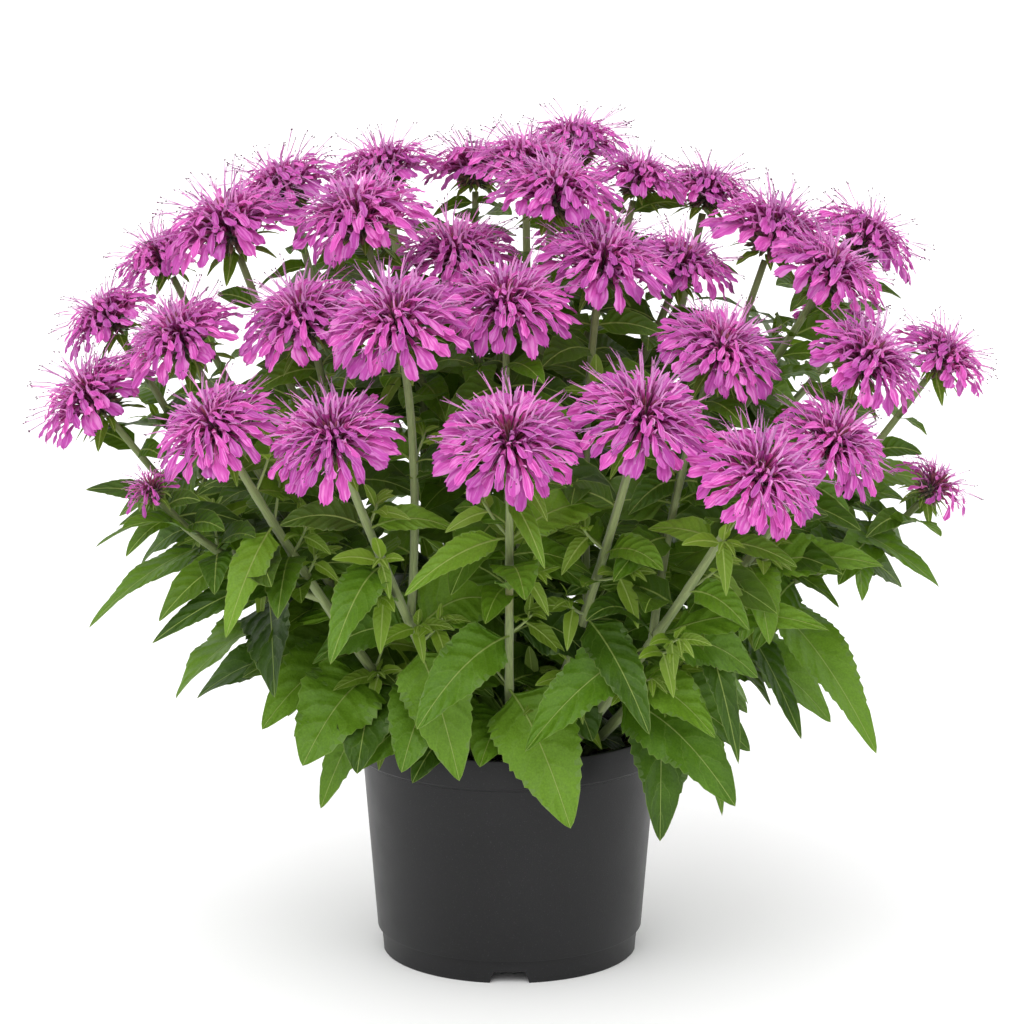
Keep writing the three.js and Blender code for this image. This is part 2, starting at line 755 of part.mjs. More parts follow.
// The opposite pairs of leaves up a stalk, each pair turned across the one below.
function pairedLeaves(stalk, places, lengths, seed) {
  return places.flatMap((at, pair) => {
    const [outward, , , across] = sideDirections(stalk, at);
    return [1, -1].map((sign, side) => {
      const draw = draws(seed + 2 * pair + side);
      const length = lengths[pair] * (1 + spreadDraw(draw, PAIRS.lengthSpread));
      const turn = (pair * Math.PI) / 2 + spreadDraw(draw, PAIRS.turnSpread);
      const heading = across.clone().multiplyScalar(sign * Math.cos(turn));
      heading.addScaledVector(outward, sign * Math.sin(turn));
      heading.z = PAIRS.drop + spreadDraw(draw, PAIRS.dropSpread);
      const tip = stalk.path.getPoint(at).addScaledVector(heading.normalize(), length);
      return { stalk, at, tip, width: length * PAIRS.widthShare, arch: length * PAIRS.archShare };
    });
  });
}

// A stalk along a curve that ends in a flower head.
function stalkOf(path, thickness, number) {
  const [x, y, z, width] = HEADS[number - 1];
  const scale = width / HEAD_WIDTH;
  const across = acrossOf(path);
  const axis = path.getTangent(1);
  const basis = new THREE.Matrix4().makeBasis(across, new THREE.Vector3().crossVectors(axis, across), axis);
  const head = { number, width, scale, matrix: basis.setPosition(x, y, z) };
  const end = 1 + (HEAD.stalkEnd * scale) / (2 * path.v1.distanceTo(path.v2));
  return { path, across, thickness, head, end, buried: 0, grown: [] };
}

// Half the side of a stalk at a share of its length.
function stalkHalfSide(stalk, share) {
  return stalk.thickness + share * (STEM.halfSideAbove - stalk.thickness);
}

// The directions that the four sides of a stalk face at a share of its length.
function sideDirections(stalk, share) {
  const { across } = stalk;
  const outward = new THREE.Vector3().crossVectors(stalk.path.getTangent(share), across);
  return [outward, across.clone().negate(), outward.clone().negate(), across.clone()];
}

// Lays out one stem: its stalks with their heads, and the leaves it should carry.
function planStem(stem, number) {
  const path = mainPath(stem.heads);
  const main = stalkOf(path, STEM.halfSideBelow, stem.heads[0]);
  main.buried = STEM.buriedDepth;
  const sides = stem.heads.slice(1).map((head, i) => {
    return stalkOf(sidePath(path, stem.forks[i], head), STEM.halfSideOfSide, head);
  });
  const seed = SEED.stem * (number + 1);
  const named = stem.leaves.map((leaf) => ({ ...leaf, stalk: main, tip: new THREE.Vector3(...leaf.tip) }));
  const allPairs = pairedLeaves(main, PAIRS.places, PAIRS.lengths, seed);
  const paired = stem.bareFoot ? allPairs.slice(2) : allPairs;
  const onSides = sides.flatMap((side, i) => {
    return pairedLeaves(side, [SIDE_PAIR.place], [SIDE_PAIR.length], seed + SEED.sideStalk + 2 * i);
  });
  return { path, stalks: [main, ...sides], leaves: [...named, ...paired, ...onSides] };
}

// Half the height of the square a leaf grows from, as a share of its stalk's length.
function seatShare(stalk) {
  return STEM.leafSeat / stalk.path.getLength();
}

// The shares of a stalk's length where its rod has a ring: beside every leaf, and where the rest is long.
function ringShares(stalk) {
  const seat = seatShare(stalk);
  const places = [...new Set(stalk.grown.map((leaf) => leaf.at))].sort((a, b) => a - b);
  const fixed = [0, ...places.flatMap((at) => [at - seat, at + seat]), stalk.end];
  const shares = fixed.flatMap((share, i) => {
    if (i === 0) return [share];
    const gap = share - fixed[i - 1];
    const steps = Math.ceil(gap / STEM.longestStep);
    return Array.from({ length: steps }, (_, k) => fixed[i - 1] + (gap * (k + 1)) / steps);
  });
  return stalk.buried > 0 ? [-stalk.buried / stalk.path.getLength(), ...shares] : shares;
}

// The four corners of a stalk at a share of its length, anticlockwise seen from its head.
// Below its start the stalk runs straight on into the mix.
function cornersAt(stalk, share) {
  const { path, across } = stalk;
  const start = Math.max(share, 0);
  const along = path.getTangent(start);
  const centre = path.getPoint(start).addScaledVector(along, (share - start) * path.getLength());
  const halfSide = stalkHalfSide(stalk, start);
  return squareCorners(centre, along, across, halfSide);
}

// The corners of a square across a direction.
function squareCorners(centre, along, across, halfSide) {
  const other = new THREE.Vector3().crossVectors(along, across);
  return [[1, 1], [-1, 1], [-1, -1], [1, -1]].map(([a, b]) => {
    return centre.clone().addScaledVector(across, a * halfSide).addScaledVector(other, b * halfSide);
  });
}

// A stalk as one closed surface: a square rod that opens into its leaves and ends in the green
// of its head.
function stalkSolid(stalk) {
  const shares = ringShares(stalk);
  const points = shares.flatMap((share) => cornersAt(stalk, share));
  const faces = [];
  const rings = shares.map((_, i) => [0, 1, 2, 3].map((corner) => 4 * i + corner));
  capRing(faces, rings[0], false);
  for (let i = 0; i + 1 < rings.length; i++) {
    for (let side = 0; side < 4; side++) {
      const [low, high] = [rings[i], rings[i + 1]];
      const corners = [low[side], low[(side + 1) % 4], high[(side + 1) % 4], high[side]];
      const isHere = (leaf) => leaf.side === side && shares[i] < leaf.at && leaf.at < shares[i + 1];
      const leaf = stalk.grown.find(isHere);
      if (leaf) addLeaf(points, faces, corners, leaf);
      else addQuad(faces, corners);
    }
  }
  addBurr(points, faces, rings.at(-1), stalk.head);
  return solidFrom(points, faces);
}

// Grows a leaf out of the square left open for it in its stalk.
function addLeaf(points, faces, corners, leaf) {
  const { top, bottom, left, right } = addBlade(points, faces, leaf);
  const around = [bottom, left, top, right];
  corners.forEach((corner, i) => {
    const next = corners[(i + 1) % 4];
    faces.push([corner, next, around[i]], [next, around[(i + 1) % 4], around[i]]);
  });
}

// The green of a flower head on the end of its stalk: leafy bracts under a spiky burr of calyxes,
// with a flat seat on top.
function addBurr(points, faces, end, head) {
  const count = end.length;
  const draw = draws(SEED.green + head.number);
  const half = Math.PI / count;
  const local = [];
  const first = points.length;
  const bladesAt = (crotch, tip, turn) => {
    const ring = bladeRing(local, crotch, [[...tip, 0]], count, turn, head.scale, HEAD, draw);
    return ring.map((corner) => ({ ...corner, index: first + corner.index }));
  };
  const levelAt = (place, turn) => {
    return levelRing(local, place, count, turn, head.scale).map((index) => first + index);
  };
  const bracts = bladesAt(HEAD.bractCrotch, HEAD.bractTip, half);
  const waist = levelAt(HEAD.waist, 2 * half);
  const burr = bladesAt(HEAD.burrCrotch, HEAD.burrTip, 2 * half);
  const seat = levelAt(HEAD.seat, 3 * half);
  points.push(...local.map((point) => point.applyMatrix4(head.matrix)));
  joinRings(faces, end, bracts, false, false);
  joinRings(faces, waist, bracts, true, true);
  joinRings(faces, waist, burr, false, false);
  joinRings(faces, seat, burr, true, true);
  capRing(faces, seat, true);
}

// Two triangles over four corners.
function addQuad(faces, [a, b, c, d]) {
  faces.push([a, b, c], [a, c, d]);
}

// One stem with its side stems, leaves and the green of its heads.
function stemSolid(plan) {
  return wasm.Manifold.union(plan.stalks.map(stalkSolid)).asOriginal().simplify(FLATNESS);
}

// Whether two solids come nearer to each other than the clearance.
function isTooNear(one, other) {
  const a = one.boundingBox();
  const b = other.boundingBox();
  for (let i = 0; i < 3; i++) {
    if (a.min[i] > b.max[i] + CLEARANCE || b.min[i] > a.max[i] + CLEARANCE) return false;
  }
  return one.minGap(other, 1) < CLEARANCE;
}

// Grows a leaf in the first bend that is clear of everything else, or leaves it off.
function growLeaf(stems, own, others, wanted, seed) {
  const neighbours = [...others, ...stems.filter((_, i) => i !== own)];
  for (let attempt = 0; attempt < LEAF_TRIES; attempt++) {
    const leaf = bentLeaf(wanted, seed, attempt);
    if (leaf === null) continue;
    const { stalk } = wanted;
    const blade = leafSolid(leaf, stalk, 1);
    const slim = leafSolid(leaf, stalk, SLIM_ROOT);
    const above = stalk.grown.filter((grown) => grown.at !== leaf.at).map((grown) => grown.blade);
    const beside = stalk.grown.filter((grown) => grown.at === leaf.at).map((grown) => grown.slim);
    if ([...neighbours, ...above].some((neighbour) => isTooNear(blade, neighbour))) continue;
    if (beside.some((neighbour) => isTooNear(slim, neighbour))) continue;
    if (isTooNear(leafSolid(leaf, stalk, 0), stems[own])) continue;
    stems[own] = stems[own].add(blade);
    stalk.grown.push({ ...leaf, blade, slim });
    return;
  }
}

// The whole plant in its pot.
function buildPlant() {
  const plant = new THREE.Group();
  const plans = STEMS.map(planStem);
  const pot = potSolid();
  const soil = soilSolid(plans);
  const heads = plans.flatMap((plan) => plan.stalks.map((stalk) => stalk.head));
  heads.sort((a, b) => a.number - b.number);
  const blooms = heads.map(bloomSolid);
  const others = [pot, soil, ...blooms.map((bloom, i) => bloom.transform(heads[i].matrix.elements))];
  const bare = plans.map(stemSolid);
  plans.forEach((plan, i) => {
    plan.leaves.forEach((leaf, k) => growLeaf(bare, i, others, leaf, SEED.stem * (i + 1) + k));
  });
  plant.add(piece("pot", geometryOf(pot), plastic));
  plant.add(piece("soil", geometryOf(soil), mix));
  plans.forEach((plan, i) => {
    plant.add(piece(numbered("stem", i + 1), geometryOf(stemSolid(plan)), foliage));
  });
  blooms.forEach((bloom, i) => {
    const mesh = piece(numbered("bloom", heads[i].number), geometryOf(bloom), petals);
    heads[i].matrix.decompose(mesh.position, mesh.quaternion, mesh.scale);
    plant.add(mesh);
  });
  return plant;
}

// A name with a two-figure number.
function numbered(kind, number) {
  return kind + "_" + String(number).padStart(2, "0");
}

export default buildPlant();
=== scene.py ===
"""Dresses the potted bee balm: fine leaves, whorled flower heads, crumbly mix and a moulded pot.

Lengths are millimetres until a mesh is made. +Z is up and the front of the plant faces -Y.
"""

import math

import bpy
import numpy as np
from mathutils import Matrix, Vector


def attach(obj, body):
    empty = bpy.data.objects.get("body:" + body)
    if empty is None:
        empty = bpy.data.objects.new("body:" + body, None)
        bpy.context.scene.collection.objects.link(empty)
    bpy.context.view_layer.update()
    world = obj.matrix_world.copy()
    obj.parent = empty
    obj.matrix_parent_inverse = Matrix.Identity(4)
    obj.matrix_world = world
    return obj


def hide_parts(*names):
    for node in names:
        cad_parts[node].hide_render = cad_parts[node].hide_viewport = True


MM = 0.001
UP = np.array([0.0, 0.0, 1.0])
TAU = 2 * math.pi

# The pot, as in the solids, with the details of its moulding
POT_HEIGHT = 132
RIM_RADIUS = 86.8
BAND_BOTTOM = 115
WALL_AT_BAND = 83.5
WALL_AT_FOOT = 75.4
FOOT_RADIUS = 72.3
FOOT_HEIGHT = 13
FOOT_WIDTH = 4
WALL = 1.8
LIP_WIDTH = 3
LEDGE_DEPTH = 5
FLOOR_TOP = 15
FLOOR_THICKNESS = 2
UNDER_FLOOR = FLOOR_TOP - FLOOR_THICKNESS
POT_SIDES = 160
NOTCHES = 4
NOTCH_BELOW = 23
NOTCH_ABOVE = 17
NOTCH_HEIGHT = 6.8
NOTCH_REACH = 8
DRAINS = 6
DRAIN_RADIUS = 5
DRAIN_RING = 46
DRAIN_SIDES = 24
SOIL_TOP = 119.5
SOIL_GAP = 0.4

# The stems, as in the solids, with how their squares swell at the leaf pairs
CROWN_HEIGHT = 118
CROWN_SPREAD = 0.22
BURIED_DEPTH = 16
REACH_OUT = 0.5
REACH_UP = 0.42
HALF_SIDE_BELOW = 2.5
HALF_SIDE_ABOVE = 1.7
HALF_SIDE_OF_SIDE = 1.9
SIDE_REACH = 0.45
SIDE_LEAN = 0.0031
STALK_END = -15
HEAD_WIDTH = 62
STALK_ROWS = 26
NODE_SWELLING = 0.12
NODE_REACH = 0.012

# The leaves, as in the solids
LEAF_ROLL = 0.9
LEAF_SIDEWAYS = 0.3
LEAF_FOLD = 0.2
BEND_PLACE = 0.45
PAIR_PLACES = [0.15, 0.3, 0.48, 0.68]
PAIR_LENGTHS = [58, 80, 66, 46]
PAIR_WIDTH = 0.5
PAIR_ARCH = 0.24
PAIR_DROP = -0.3
LENGTH_SPREAD = 0.14
TURN_SPREAD = 0.5
DROP_SPREAD = 0.4
SIDE_PAIR_PLACE = 0.5
SIDE_PAIR_LENGTH = 34
LEAF_TRIES = 12
BEND_STEP = 4.5
ARCH_STEP = 1.5
LEAST_FACING = 0.5
STEM_SEED = 100
SIDE_SEED = 20
BEND_SEED = 64
TIP_MATCH = 0.02

# Flower heads: the centre of each and its width across the lower lips
HEADS = [
    (0, -205, 331, 71), (68, -192, 341, 70), (126, -210, 314, 66), (167, -158, 322, 61),
    (-90, -190, 330, 66), (-152, -162, 331, 64), (-226, -60, 329, 66), (-58, -163, 386, 68),
    (-2, -122, 388, 64), (50, -86, 406, 64), (93, -38, 398, 54), (110, -130, 366, 64),
    (188, -119, 359, 63), (234, -66, 352, 53), (-108, -118, 381, 64), (-175, -92, 366, 64),
    (-221, -20, 366, 55), (-29, -45, 404, 62), (-152, -48, 420, 68), (-194, 22, 394, 50),
    (-80, -82, 430, 66), (-126, 24, 432, 60), (-71, 44, 441, 54), (-20, 70, 438, 52),
    (9, 10, 448, 56), (24, -56, 440, 62), (38, 78, 451, 54), (72, 20, 438, 48),
    (146, -8, 412, 66), (112, 54, 427, 51), (172, -66, 398, 58), (200, 36, 402, 56),
    (-190, -118, 290, 33), (231, -62, 280, 46), (195, 96, 340, 60), (118, 190, 318, 60),
    (0, 212, 330, 62), (-122, 186, 328, 60), (-195, 104, 338, 60), (44, 146, 390, 56),
    (-82, 114, 396, 58),
]

# Each stem: its heads, where its side stems fork off, and its drawn leaves.
# A leaf is its place on the stem, its tip, its width and the height of its arch.
# A stem marked True lacks the lowest pair of leaves.
STEMS = [
    ([1, 9], [0.5], [
        (0.3, (33, -120, 108), 48, 14), (0.48, (-49, -150, 173), 32, 12),
        (0.76, (-54, -195, 256), 17, 7), (0.76, (74, -154, 289), 26, 6),
        (0.88, (18, -216, 272), 11, 5), (0.62, (-8, -178, 258), 12, 0),
        (0.2, (-16, -112, 138), 34, 12)]),
    ([2, 10], [0.52], [
        (0.5, (74, -150, 169), 26, 10), (0.6, (38, -168, 250), 12, 2),
        (0.25, (58, -106, 130), 36, 14)]),
    ([3, 12], [0.5], [
        (0.52, (168, -152, 229), 24, 14), (0.52, (40, -168, 235), 22, 20),
        (0.82, (72, -162, 280), 16, 4), (0.82, (148, -192, 267), 13, 5),
        (0.38, (110, -128, 160), 30, 12)]),
    ([4, 13], [0.5], [
        (0.34, (86, -108, 117), 43, 12), (0.5, (134, -132, 169), 18, 12),
        (0.66, (200, -112, 250), 26, 10)]),
    ([5, 8], [0.5], [
        (0.44, (-27, -122, 136), 39, 10), (0.16, (-53, -98, 127), 24, 8),
        (0.78, (-121, -140, 278), 19, 10), (0.78, (-28, -150, 278), 16, 9),
        (0.58, (-79, -160, 250), 14, 0), (0.24, (-82, -104, 136), 32, 12)]),
    ([6, 33], [0.55], [
        (0.32, (-112, -108, 139), 49, 14), (0.27, (-104, -76, 108), 27, 12),
        (0.76, (-148, -170, 227), 22, 8), (0.62, (-190, -132, 216), 20, 12),
        (0.84, (-122, -104, 262), 20, 5)]),
    ([16, 15], [0.5], [(0.4, (-195, -82, 196), 24, 16)]),
    ([7, 17], [0.55], [
        (0.42, (-182, -84, 174), 40, 16), (0.64, (-228, -88, 214), 22, 10),
        (0.72, (-222, -100, 260), 14, 4), (0.72, (-240, -34, 262), 14, 6)]),
    ([14, 34], [0.45], [
        (0.46, (200, -92, 147), 40, 18), (0.4, (160, -78, 145), 22, 12),
        (0.26, (118, -60, 100), 23, 14), (0.64, (232, -92, 234), 28, 12),
        (0.74, (240, -24, 276), 20, 6)]),
    ([26, 18, 21], [0.55, 0.42], []),
    ([19, 22], [0.55], [], True),
    ([29, 31], [0.55], [], True),
    ([25, 11, 28], [0.42, 0.55], [], True),
    ([20, 39, 38], [0.43, 0.32], [
        (0.22, (-130, 74, 122), 38, 14), (0.38, (-112, 118, 176), 32, 12),
        (0.56, (-196, 72, 232), 28, 12)], True),
    ([23, 24, 41], [0.55, 0.45], [
        (0.2, (-64, 110, 118), 42, 14), (0.36, (-26, 128, 168), 34, 12),
        (0.52, (-84, 126, 238), 26, 10)], True),
    ([27, 40, 37], [0.5, 0.38], [
        (0.12, (-12, 118, 104), 38, 12), (0.24, (42, 124, 126), 40, 14),
        (0.44, (66, 134, 216), 28, 12), (0.6, (4, 138, 268), 22, 10)], True),
    ([30, 32, 35, 36], [0.55, 0.45, 0.36], [
        (0.2, (98, 104, 118), 42, 14), (0.27, (138, 48, 130), 38, 14),
        (0.41, (150, 108, 196), 30, 12), (0.51, (196, 40, 246), 26, 12)], True),
]

# The fine leaf: its outline, petiole, teeth and ripple. A plain leaf is a coarser one.
OUTLINE_PEAK = 0.73
OUTLINE_FULLNESS = 0.72
PETIOLE = 0.07
PETIOLE_HALF_WIDTH = 0.8
BLADE_FULL_FROM = 0.22
TOOTH_LENGTH = 5
PLAIN_TOOTH_LENGTH = 9
TOOTH_DEPTH = 0.05
TOOTHED_LENGTHS = (15, 60)
TEETH_TO = 0.86
LEAF_COLUMNS = np.array([-1, -0.68, -0.34, 0, 0.34, 0.68, 1])
PLAIN_COLUMNS = np.array([-1, -0.5, 0, 0.5, 1])
LEAF_THICKNESS = 0.4
# Plain leaves are drawn darker in tone: painted shade inside the clump.
PLAIN_PAINTED_SHADE = 0.28
RIPPLE = 0.06
HALF_CROWN = 0.12
TWIST = 0.35
CURL = 0.07

# The smaller leaves that fill the clump between the drawn ones: where their pairs stand
FILL_PLACES = [0.1, 0.2, 0.31, 0.42, 0.52, 0.62, 0.71, 0.79, 0.87]
FILL_LENGTHS = [50, 64, 68, 64, 58, 52, 45, 38, 32]
FILL_FRONT = -150

# One flower head at the head's own scale. Places are radius and height from its centre.
# Each whorl: how many tubes, where they start, arch and open, where their lower lips bend and
# end, where their upper lips end, how many of these are long and where, and the lips' width.
WHORLS = [
    {"count": 21, "start": (7.5, -2), "arch": (14, 3), "mouth": (20, 0), "bend": (27.5, 0.5),
     "tip": (33, -6.5), "upper": (27, 4.5), "long_share": 0, "long": (32, 3), "width": 6.6},
    {"count": 24, "start": (7, -0.5), "arch": (12.5, 6), "mouth": (19, 4.5), "bend": (26.5, 5.5),
     "tip": (32, 0), "upper": (26.5, 10), "long_share": 0.3, "long": (33, 8.5), "width": 4.5},
    {"count": 24, "start": (6, 0.5), "arch": (10, 9), "mouth": (16, 8.5), "bend": (22.5, 10),
     "tip": (28.5, 4.5), "upper": (22, 13.5), "long_share": 0.4, "long": (29, 14.5), "width": 3.6},
    {"count": 21, "start": (4.5, 1.5), "arch": (7, 10), "mouth": (11.5, 11), "bend": (17, 13.5),
     "tip": (23.5, 9.5), "upper": (16.5, 17), "long_share": 0.4, "long": (22, 20.5), "width": 2.9},
    {"count": 13, "start": (2.5, 2), "arch": (3.5, 9), "mouth": (6, 12), "bend": (9.5, 15),
     "tip": (15, 13.5), "upper": (9.5, 18.5), "long_share": 0.35, "long": (12.5, 23), "width": 2.2},
]
# The outline of a lower lip: widest near its end, which is blunt and lobed.
LIP_SHARES = np.array([0, 0.16, 0.34, 0.52, 0.68, 0.8, 0.9, 0.97, 1])
LIP_WIDTHS = np.array([0.32, 0.4, 0.6, 0.86, 1, 0.98, 0.82, 0.6, 0.42])
LIP_COLUMNS = np.array([-1, -0.5, 0, 0.5, 1])
LIP_NOTCH = np.array([-1.3, 0.3, -0.3, 0.5, -1.1])
FEWER_ROWS = [0, 2, 3, 4, 5, 6, 8]
FINE_WHORLS = 1
NARROW_WIDTH = 3.9
LIP_TWIST = 0.5
LIP_RAGGED = 0.2
TUBE_SHARES = np.array([0, 0.4, 0.75, 1])
TUBE_RADIUS = 0.7
MOUTH_RADIUS = 1.4
UPPER_WIDTH = 1.9
LONG_UPPER_WIDTH = 1.0
STAMEN_RADIUS = 0.16
STAMEN_REACH = 3.5
ANTHER_STEPS = np.array([-0.5, -0.1, 0.5, 0.8])
ANTHER_SIZES = np.array([0.05, 0.36, 0.36, 0.05])
# How far a floret strays from its whorl: at its mouth, its bend and its tips, and sideways
MOUTH_SPREAD = 1.3
BEND_SPREAD = 1.6
TIP_SPREAD = 2.6
UPPER_SPREAD = 1.8
LEAN = 0.16
WHORL_TURN = 2.4
# Heads high on the plant open wider than the low ones.
FULL_FROM = 360
FULL_AT = 400
FULLER = 0.11
# A head narrower than this is young: its flowers are fewer and smaller.
YOUNG_WIDTH = 47
YOUNG_SHARE = 0.4
YOUNG_SIZE = 0.75

# The green and maroon calyxes and the bracts of a head
CONE_STEPS = np.array([0, 0.55, 0.9, 1.12])
CONE_RADII = np.array([0.75, 1, 0.9, 0.1])
HEART_CONES = 26
HEART_TILT = 0.95
HEART_RADIUS = 0.95
CALYXES = 64
CALYX_LENGTH = 9
CALYX_RADIUS = 1.15
CALYX_TURN = 2.39996
BURR_CENTRE = np.array([0, 0, -3.5])
BRACTS = 8
THIN_BRACTS = 7
THIN_BRACT_WIDTH = 1.8

# The young side shoots: how many leaves each has, in pairs, and how long the lowest are
SHOOT_LEAVES = 6
SHOOT_LEAF_LENGTH = 25
SHOOT_LEAF_SHORTER = 7
SHOOT_SIDES = 5

# Seeds of the draws for what the solids lack
GROWN_LEAF_SEED = 300
STALK_SEEDS = 60
FILL_SEED = 50
BLOOM_SEED = 7000
BURR_SEED = 8000
BRACTS_SEED = 8500
BRACT_LEAF_SEED = 9000
THIN_BRACT_SEED = 9700
HEAD_SEEDS = 16

# The order of the materials on a stem and on a bloom
STALK_SLOT = 1
CALYX_SLOT = 2
ANTHER_SLOT = 1
HEART_SLOT = 2

# The potting mix: how fine its top is, and the size, height and seed of its bumps
MIX_SIDES = 180
MIX_RINGS = 70
MIX_BUMPS = [(22, 1.1, 1), (7, 0.9, 2), (3, 0.8, 3), (1.4, 0.45, 4)]
CRUMBS = 1500

# The studio: the photograph's viewpoint, an even surround and one wide soft light
CAMERA_PLACE = (0, -2.2, 0.71)
CAMERA_TILT = 0.2047
PICTURE_WIDTH = 1024
LENS_PIXELS = 4000
SHIFT_PIXELS = 2.5
SURROUND_STRENGTH = 1.2
KEY_STRENGTH = 1.3
KEY_ANGLE = 50
FLOOR_REACH = 40


def draws(seed):
    """A repeatable row of draws between 0 and 1, the same as the solids were drawn with."""
    mask = 0xFFFFFFFF
    state = seed & mask

    def draw():
        nonlocal state
        state = (state + 0x6D2B79F5) & mask
        mixed = state
        mixed = ((mixed ^ (mixed >> 15)) * (mixed | 1)) & mask
        mixed ^= (mixed + (mixed ^ (mixed >> 7)) * (mixed | 61)) & mask
        return (mixed ^ (mixed >> 14)) / 4294967296

    return draw


def spread_draw(draw, spread):
    """A draw between -spread and +spread."""
    return (2 * draw() - 1) * spread


def unit(vector):
    """The vector at length one."""
    return vector / np.linalg.norm(vector)


def link(piece):
    """Puts an object into the scene."""
    bpy.context.scene.collection.objects.link(piece)


class Curve:
    """A quadratic curve from a start, towards a bend, to an end."""

    def __init__(self, start, bend, end):
        self.start = np.asarray(start, float)
        self.bend = np.asarray(bend, float)
        self.end = np.asarray(end, float)

    def point(self, share):
        rest = 1 - share
        return rest * rest * self.start + 2 * rest * share * self.bend + share * share * self.end

    def tangent(self, share):
        return unit((1 - share) * (self.bend - self.start) + share * (self.end - self.bend))

    def length(self):
        steps = np.array([self.point(share) for share in np.linspace(0, 1, 201)])
        return np.linalg.norm(np.diff(steps, axis=0), axis=1).sum()


class Surface:
    """Gathers the points and faces of one piece, with what its materials read at each point."""

    def __init__(self):
        self.points = []
        self.uvs = []
        self.traits = []
        self.reaches = []
        self.faces = []
        self.slots = []
        self.count = 0

    def add(self, points, uvs, trait, faces, slot=0, reach=0.0):
        """Adds points with their place on the part, one trait for all, and their faces."""
        self.points.append(points)
        self.uvs.append(uvs)
        self.traits.append(np.tile(np.asarray(trait, float), (len(points), 1)))
        self.reaches.append(np.broadcast_to(reach, len(points)))
        self.faces.append(np.asarray(faces) + self.count)
        self.slots.append(np.full(len(faces), slot))
        self.count += len(points)

    def add_grid(self, grid, across, along, trait, slot=0, wrap=False, flip=False, reach=0.0):
        """Adds a grid of points: rows run along the part, columns across it."""
        rows, columns = grid.shape[:2]
        uvs = np.stack(np.broadcast_arrays(across[None, :], along[:, None]), axis=2)
        index = np.arange(rows * columns).reshape(rows, columns)
        if wrap:
            index = np.concatenate([index, index[:, :1]], axis=1)
        corners = [index[:-1, :-1], index[:-1, 1:], index[1:, 1:], index[1:, :-1]]
        if flip:
            corners.reverse()
        faces = np.stack([corner.ravel() for corner in corners], axis=1)
        self.add(grid.reshape(-1, 3), uvs.reshape(-1, 2), trait, faces, slot, reach)

    def build(self, name, materials, body="root"):
        """Makes the object, in metres, and lets it ride on its body."""
        points = np.concatenate(self.points) * MM
        faces = np.concatenate(self.faces)
        mesh = bpy.data.meshes.new(name)
        mesh.vertices.add(len(points))
        mesh.vertices.foreach_set("co", points.ravel())
        mesh.loops.add(faces.size)
        mesh.loops.foreach_set("vertex_index", faces.ravel())
        mesh.polygons.add(len(faces))
        mesh.polygons.foreach_set("loop_start", np.arange(0, faces.size, faces.shape[1]))
        mesh.polygons.foreach_set("material_index", np.concatenate(self.slots))
        mesh.polygons.foreach_set("use_smooth", np.ones(len(faces), bool))
        uvs = np.concatenate(self.uvs)[faces.ravel()]
        mesh.uv_layers.new(name="UVMap").data.foreach_set("uv", uvs.ravel())
        traits = mesh.attributes.new("trait", "FLOAT_COLOR", "POINT")
        colours = np.concatenate(self.traits)
        colours = np.concatenate([colours, np.ones((len(colours), 1))], axis=1)
        traits.data.foreach_set("color", colours.ravel())
        reaches = mesh.attributes.new("reach", "FLOAT", "POINT")
        reaches.data.foreach_set("value", np.concatenate(self.reaches))
        mesh.update(calc_edges=True)
        mesh.validate()
        for material in materials:
            mesh.materials.append(material)
        piece = bpy.data.objects.new(name, mesh)
        link(piece)
        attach(piece, body)
        return piece


class Head:
    """A flower head's place, size and axes."""

    def __init__(self, number, path, across):
        x, y, z, self.width = HEADS[number - 1]
        self.number = number
        self.scale = self.width / HEAD_WIDTH
        self.centre = np.array([x, y, z], float)
        axis = path.tangent(1)
        self.basis = np.stack([across, np.cross(axis, across), axis])

    def place(self, local):
        """Points given about the head's centre and axis, in the plant's frame."""
        return local @ self.basis * self.scale + self.centre


class Stalk:
    """A square stalk along a curve that ends in a flower head."""

    def __init__(self, path, thickness, number):
        self.path = path
        self.thickness = thickness
        self.across = unit(np.cross(path.bend - path.start, path.end - path.bend))
        self.head = Head(number, path, self.across)
        reach = 2 * np.linalg.norm(path.end - path.bend)
        self.end = 1 + STALK_END * self.head.scale / reach
        self.leaves = []
        self.buried = 0

    def half_side(self, share):
        return self.thickness + share * (HALF_SIDE_ABOVE - self.thickness)

    def directions(self, share):
        """The directions its four sides face."""
        outward = np.cross(self.path.tangent(share), self.across)
        return [outward, -self.across, -outward, self.across]

    def heading(self, share, sign, turn):
        """A direction square to the stalk, turned about it: with sign -1, the opposite one."""
        outward = self.directions(share)[0]
        return sign * math.cos(turn) * self.across + sign * math.sin(turn) * outward


def head_point(number):
    """The centre of a numbered flower head."""
    return np.array(HEADS[number - 1][:3], float)


def main_path(heads):
    """The main curve of a stem leans out of the crown and bends up to its first head."""
    middle = sum(head_point(number) for number in heads) / len(heads)
    foot = np.array([CROWN_SPREAD * middle[0], CROWN_SPREAD * middle[1], CROWN_HEIGHT])
    top = head_point(heads[0])
    bend = foot + (top - foot) * np.array([REACH_OUT, REACH_OUT, REACH_UP])
    return Curve(foot, bend, top)


def side_path(main, share, number):
    """A side stem leaves the main one and bends over to its own head."""
    start = main.point(share)
    top = head_point(number)
    facing = unit(np.array([SIDE_LEAN * top[0], SIDE_LEAN * top[1], 1]))
    bend = top - facing * SIDE_REACH * np.linalg.norm(top - start)
    return Curve(start, bend, top)


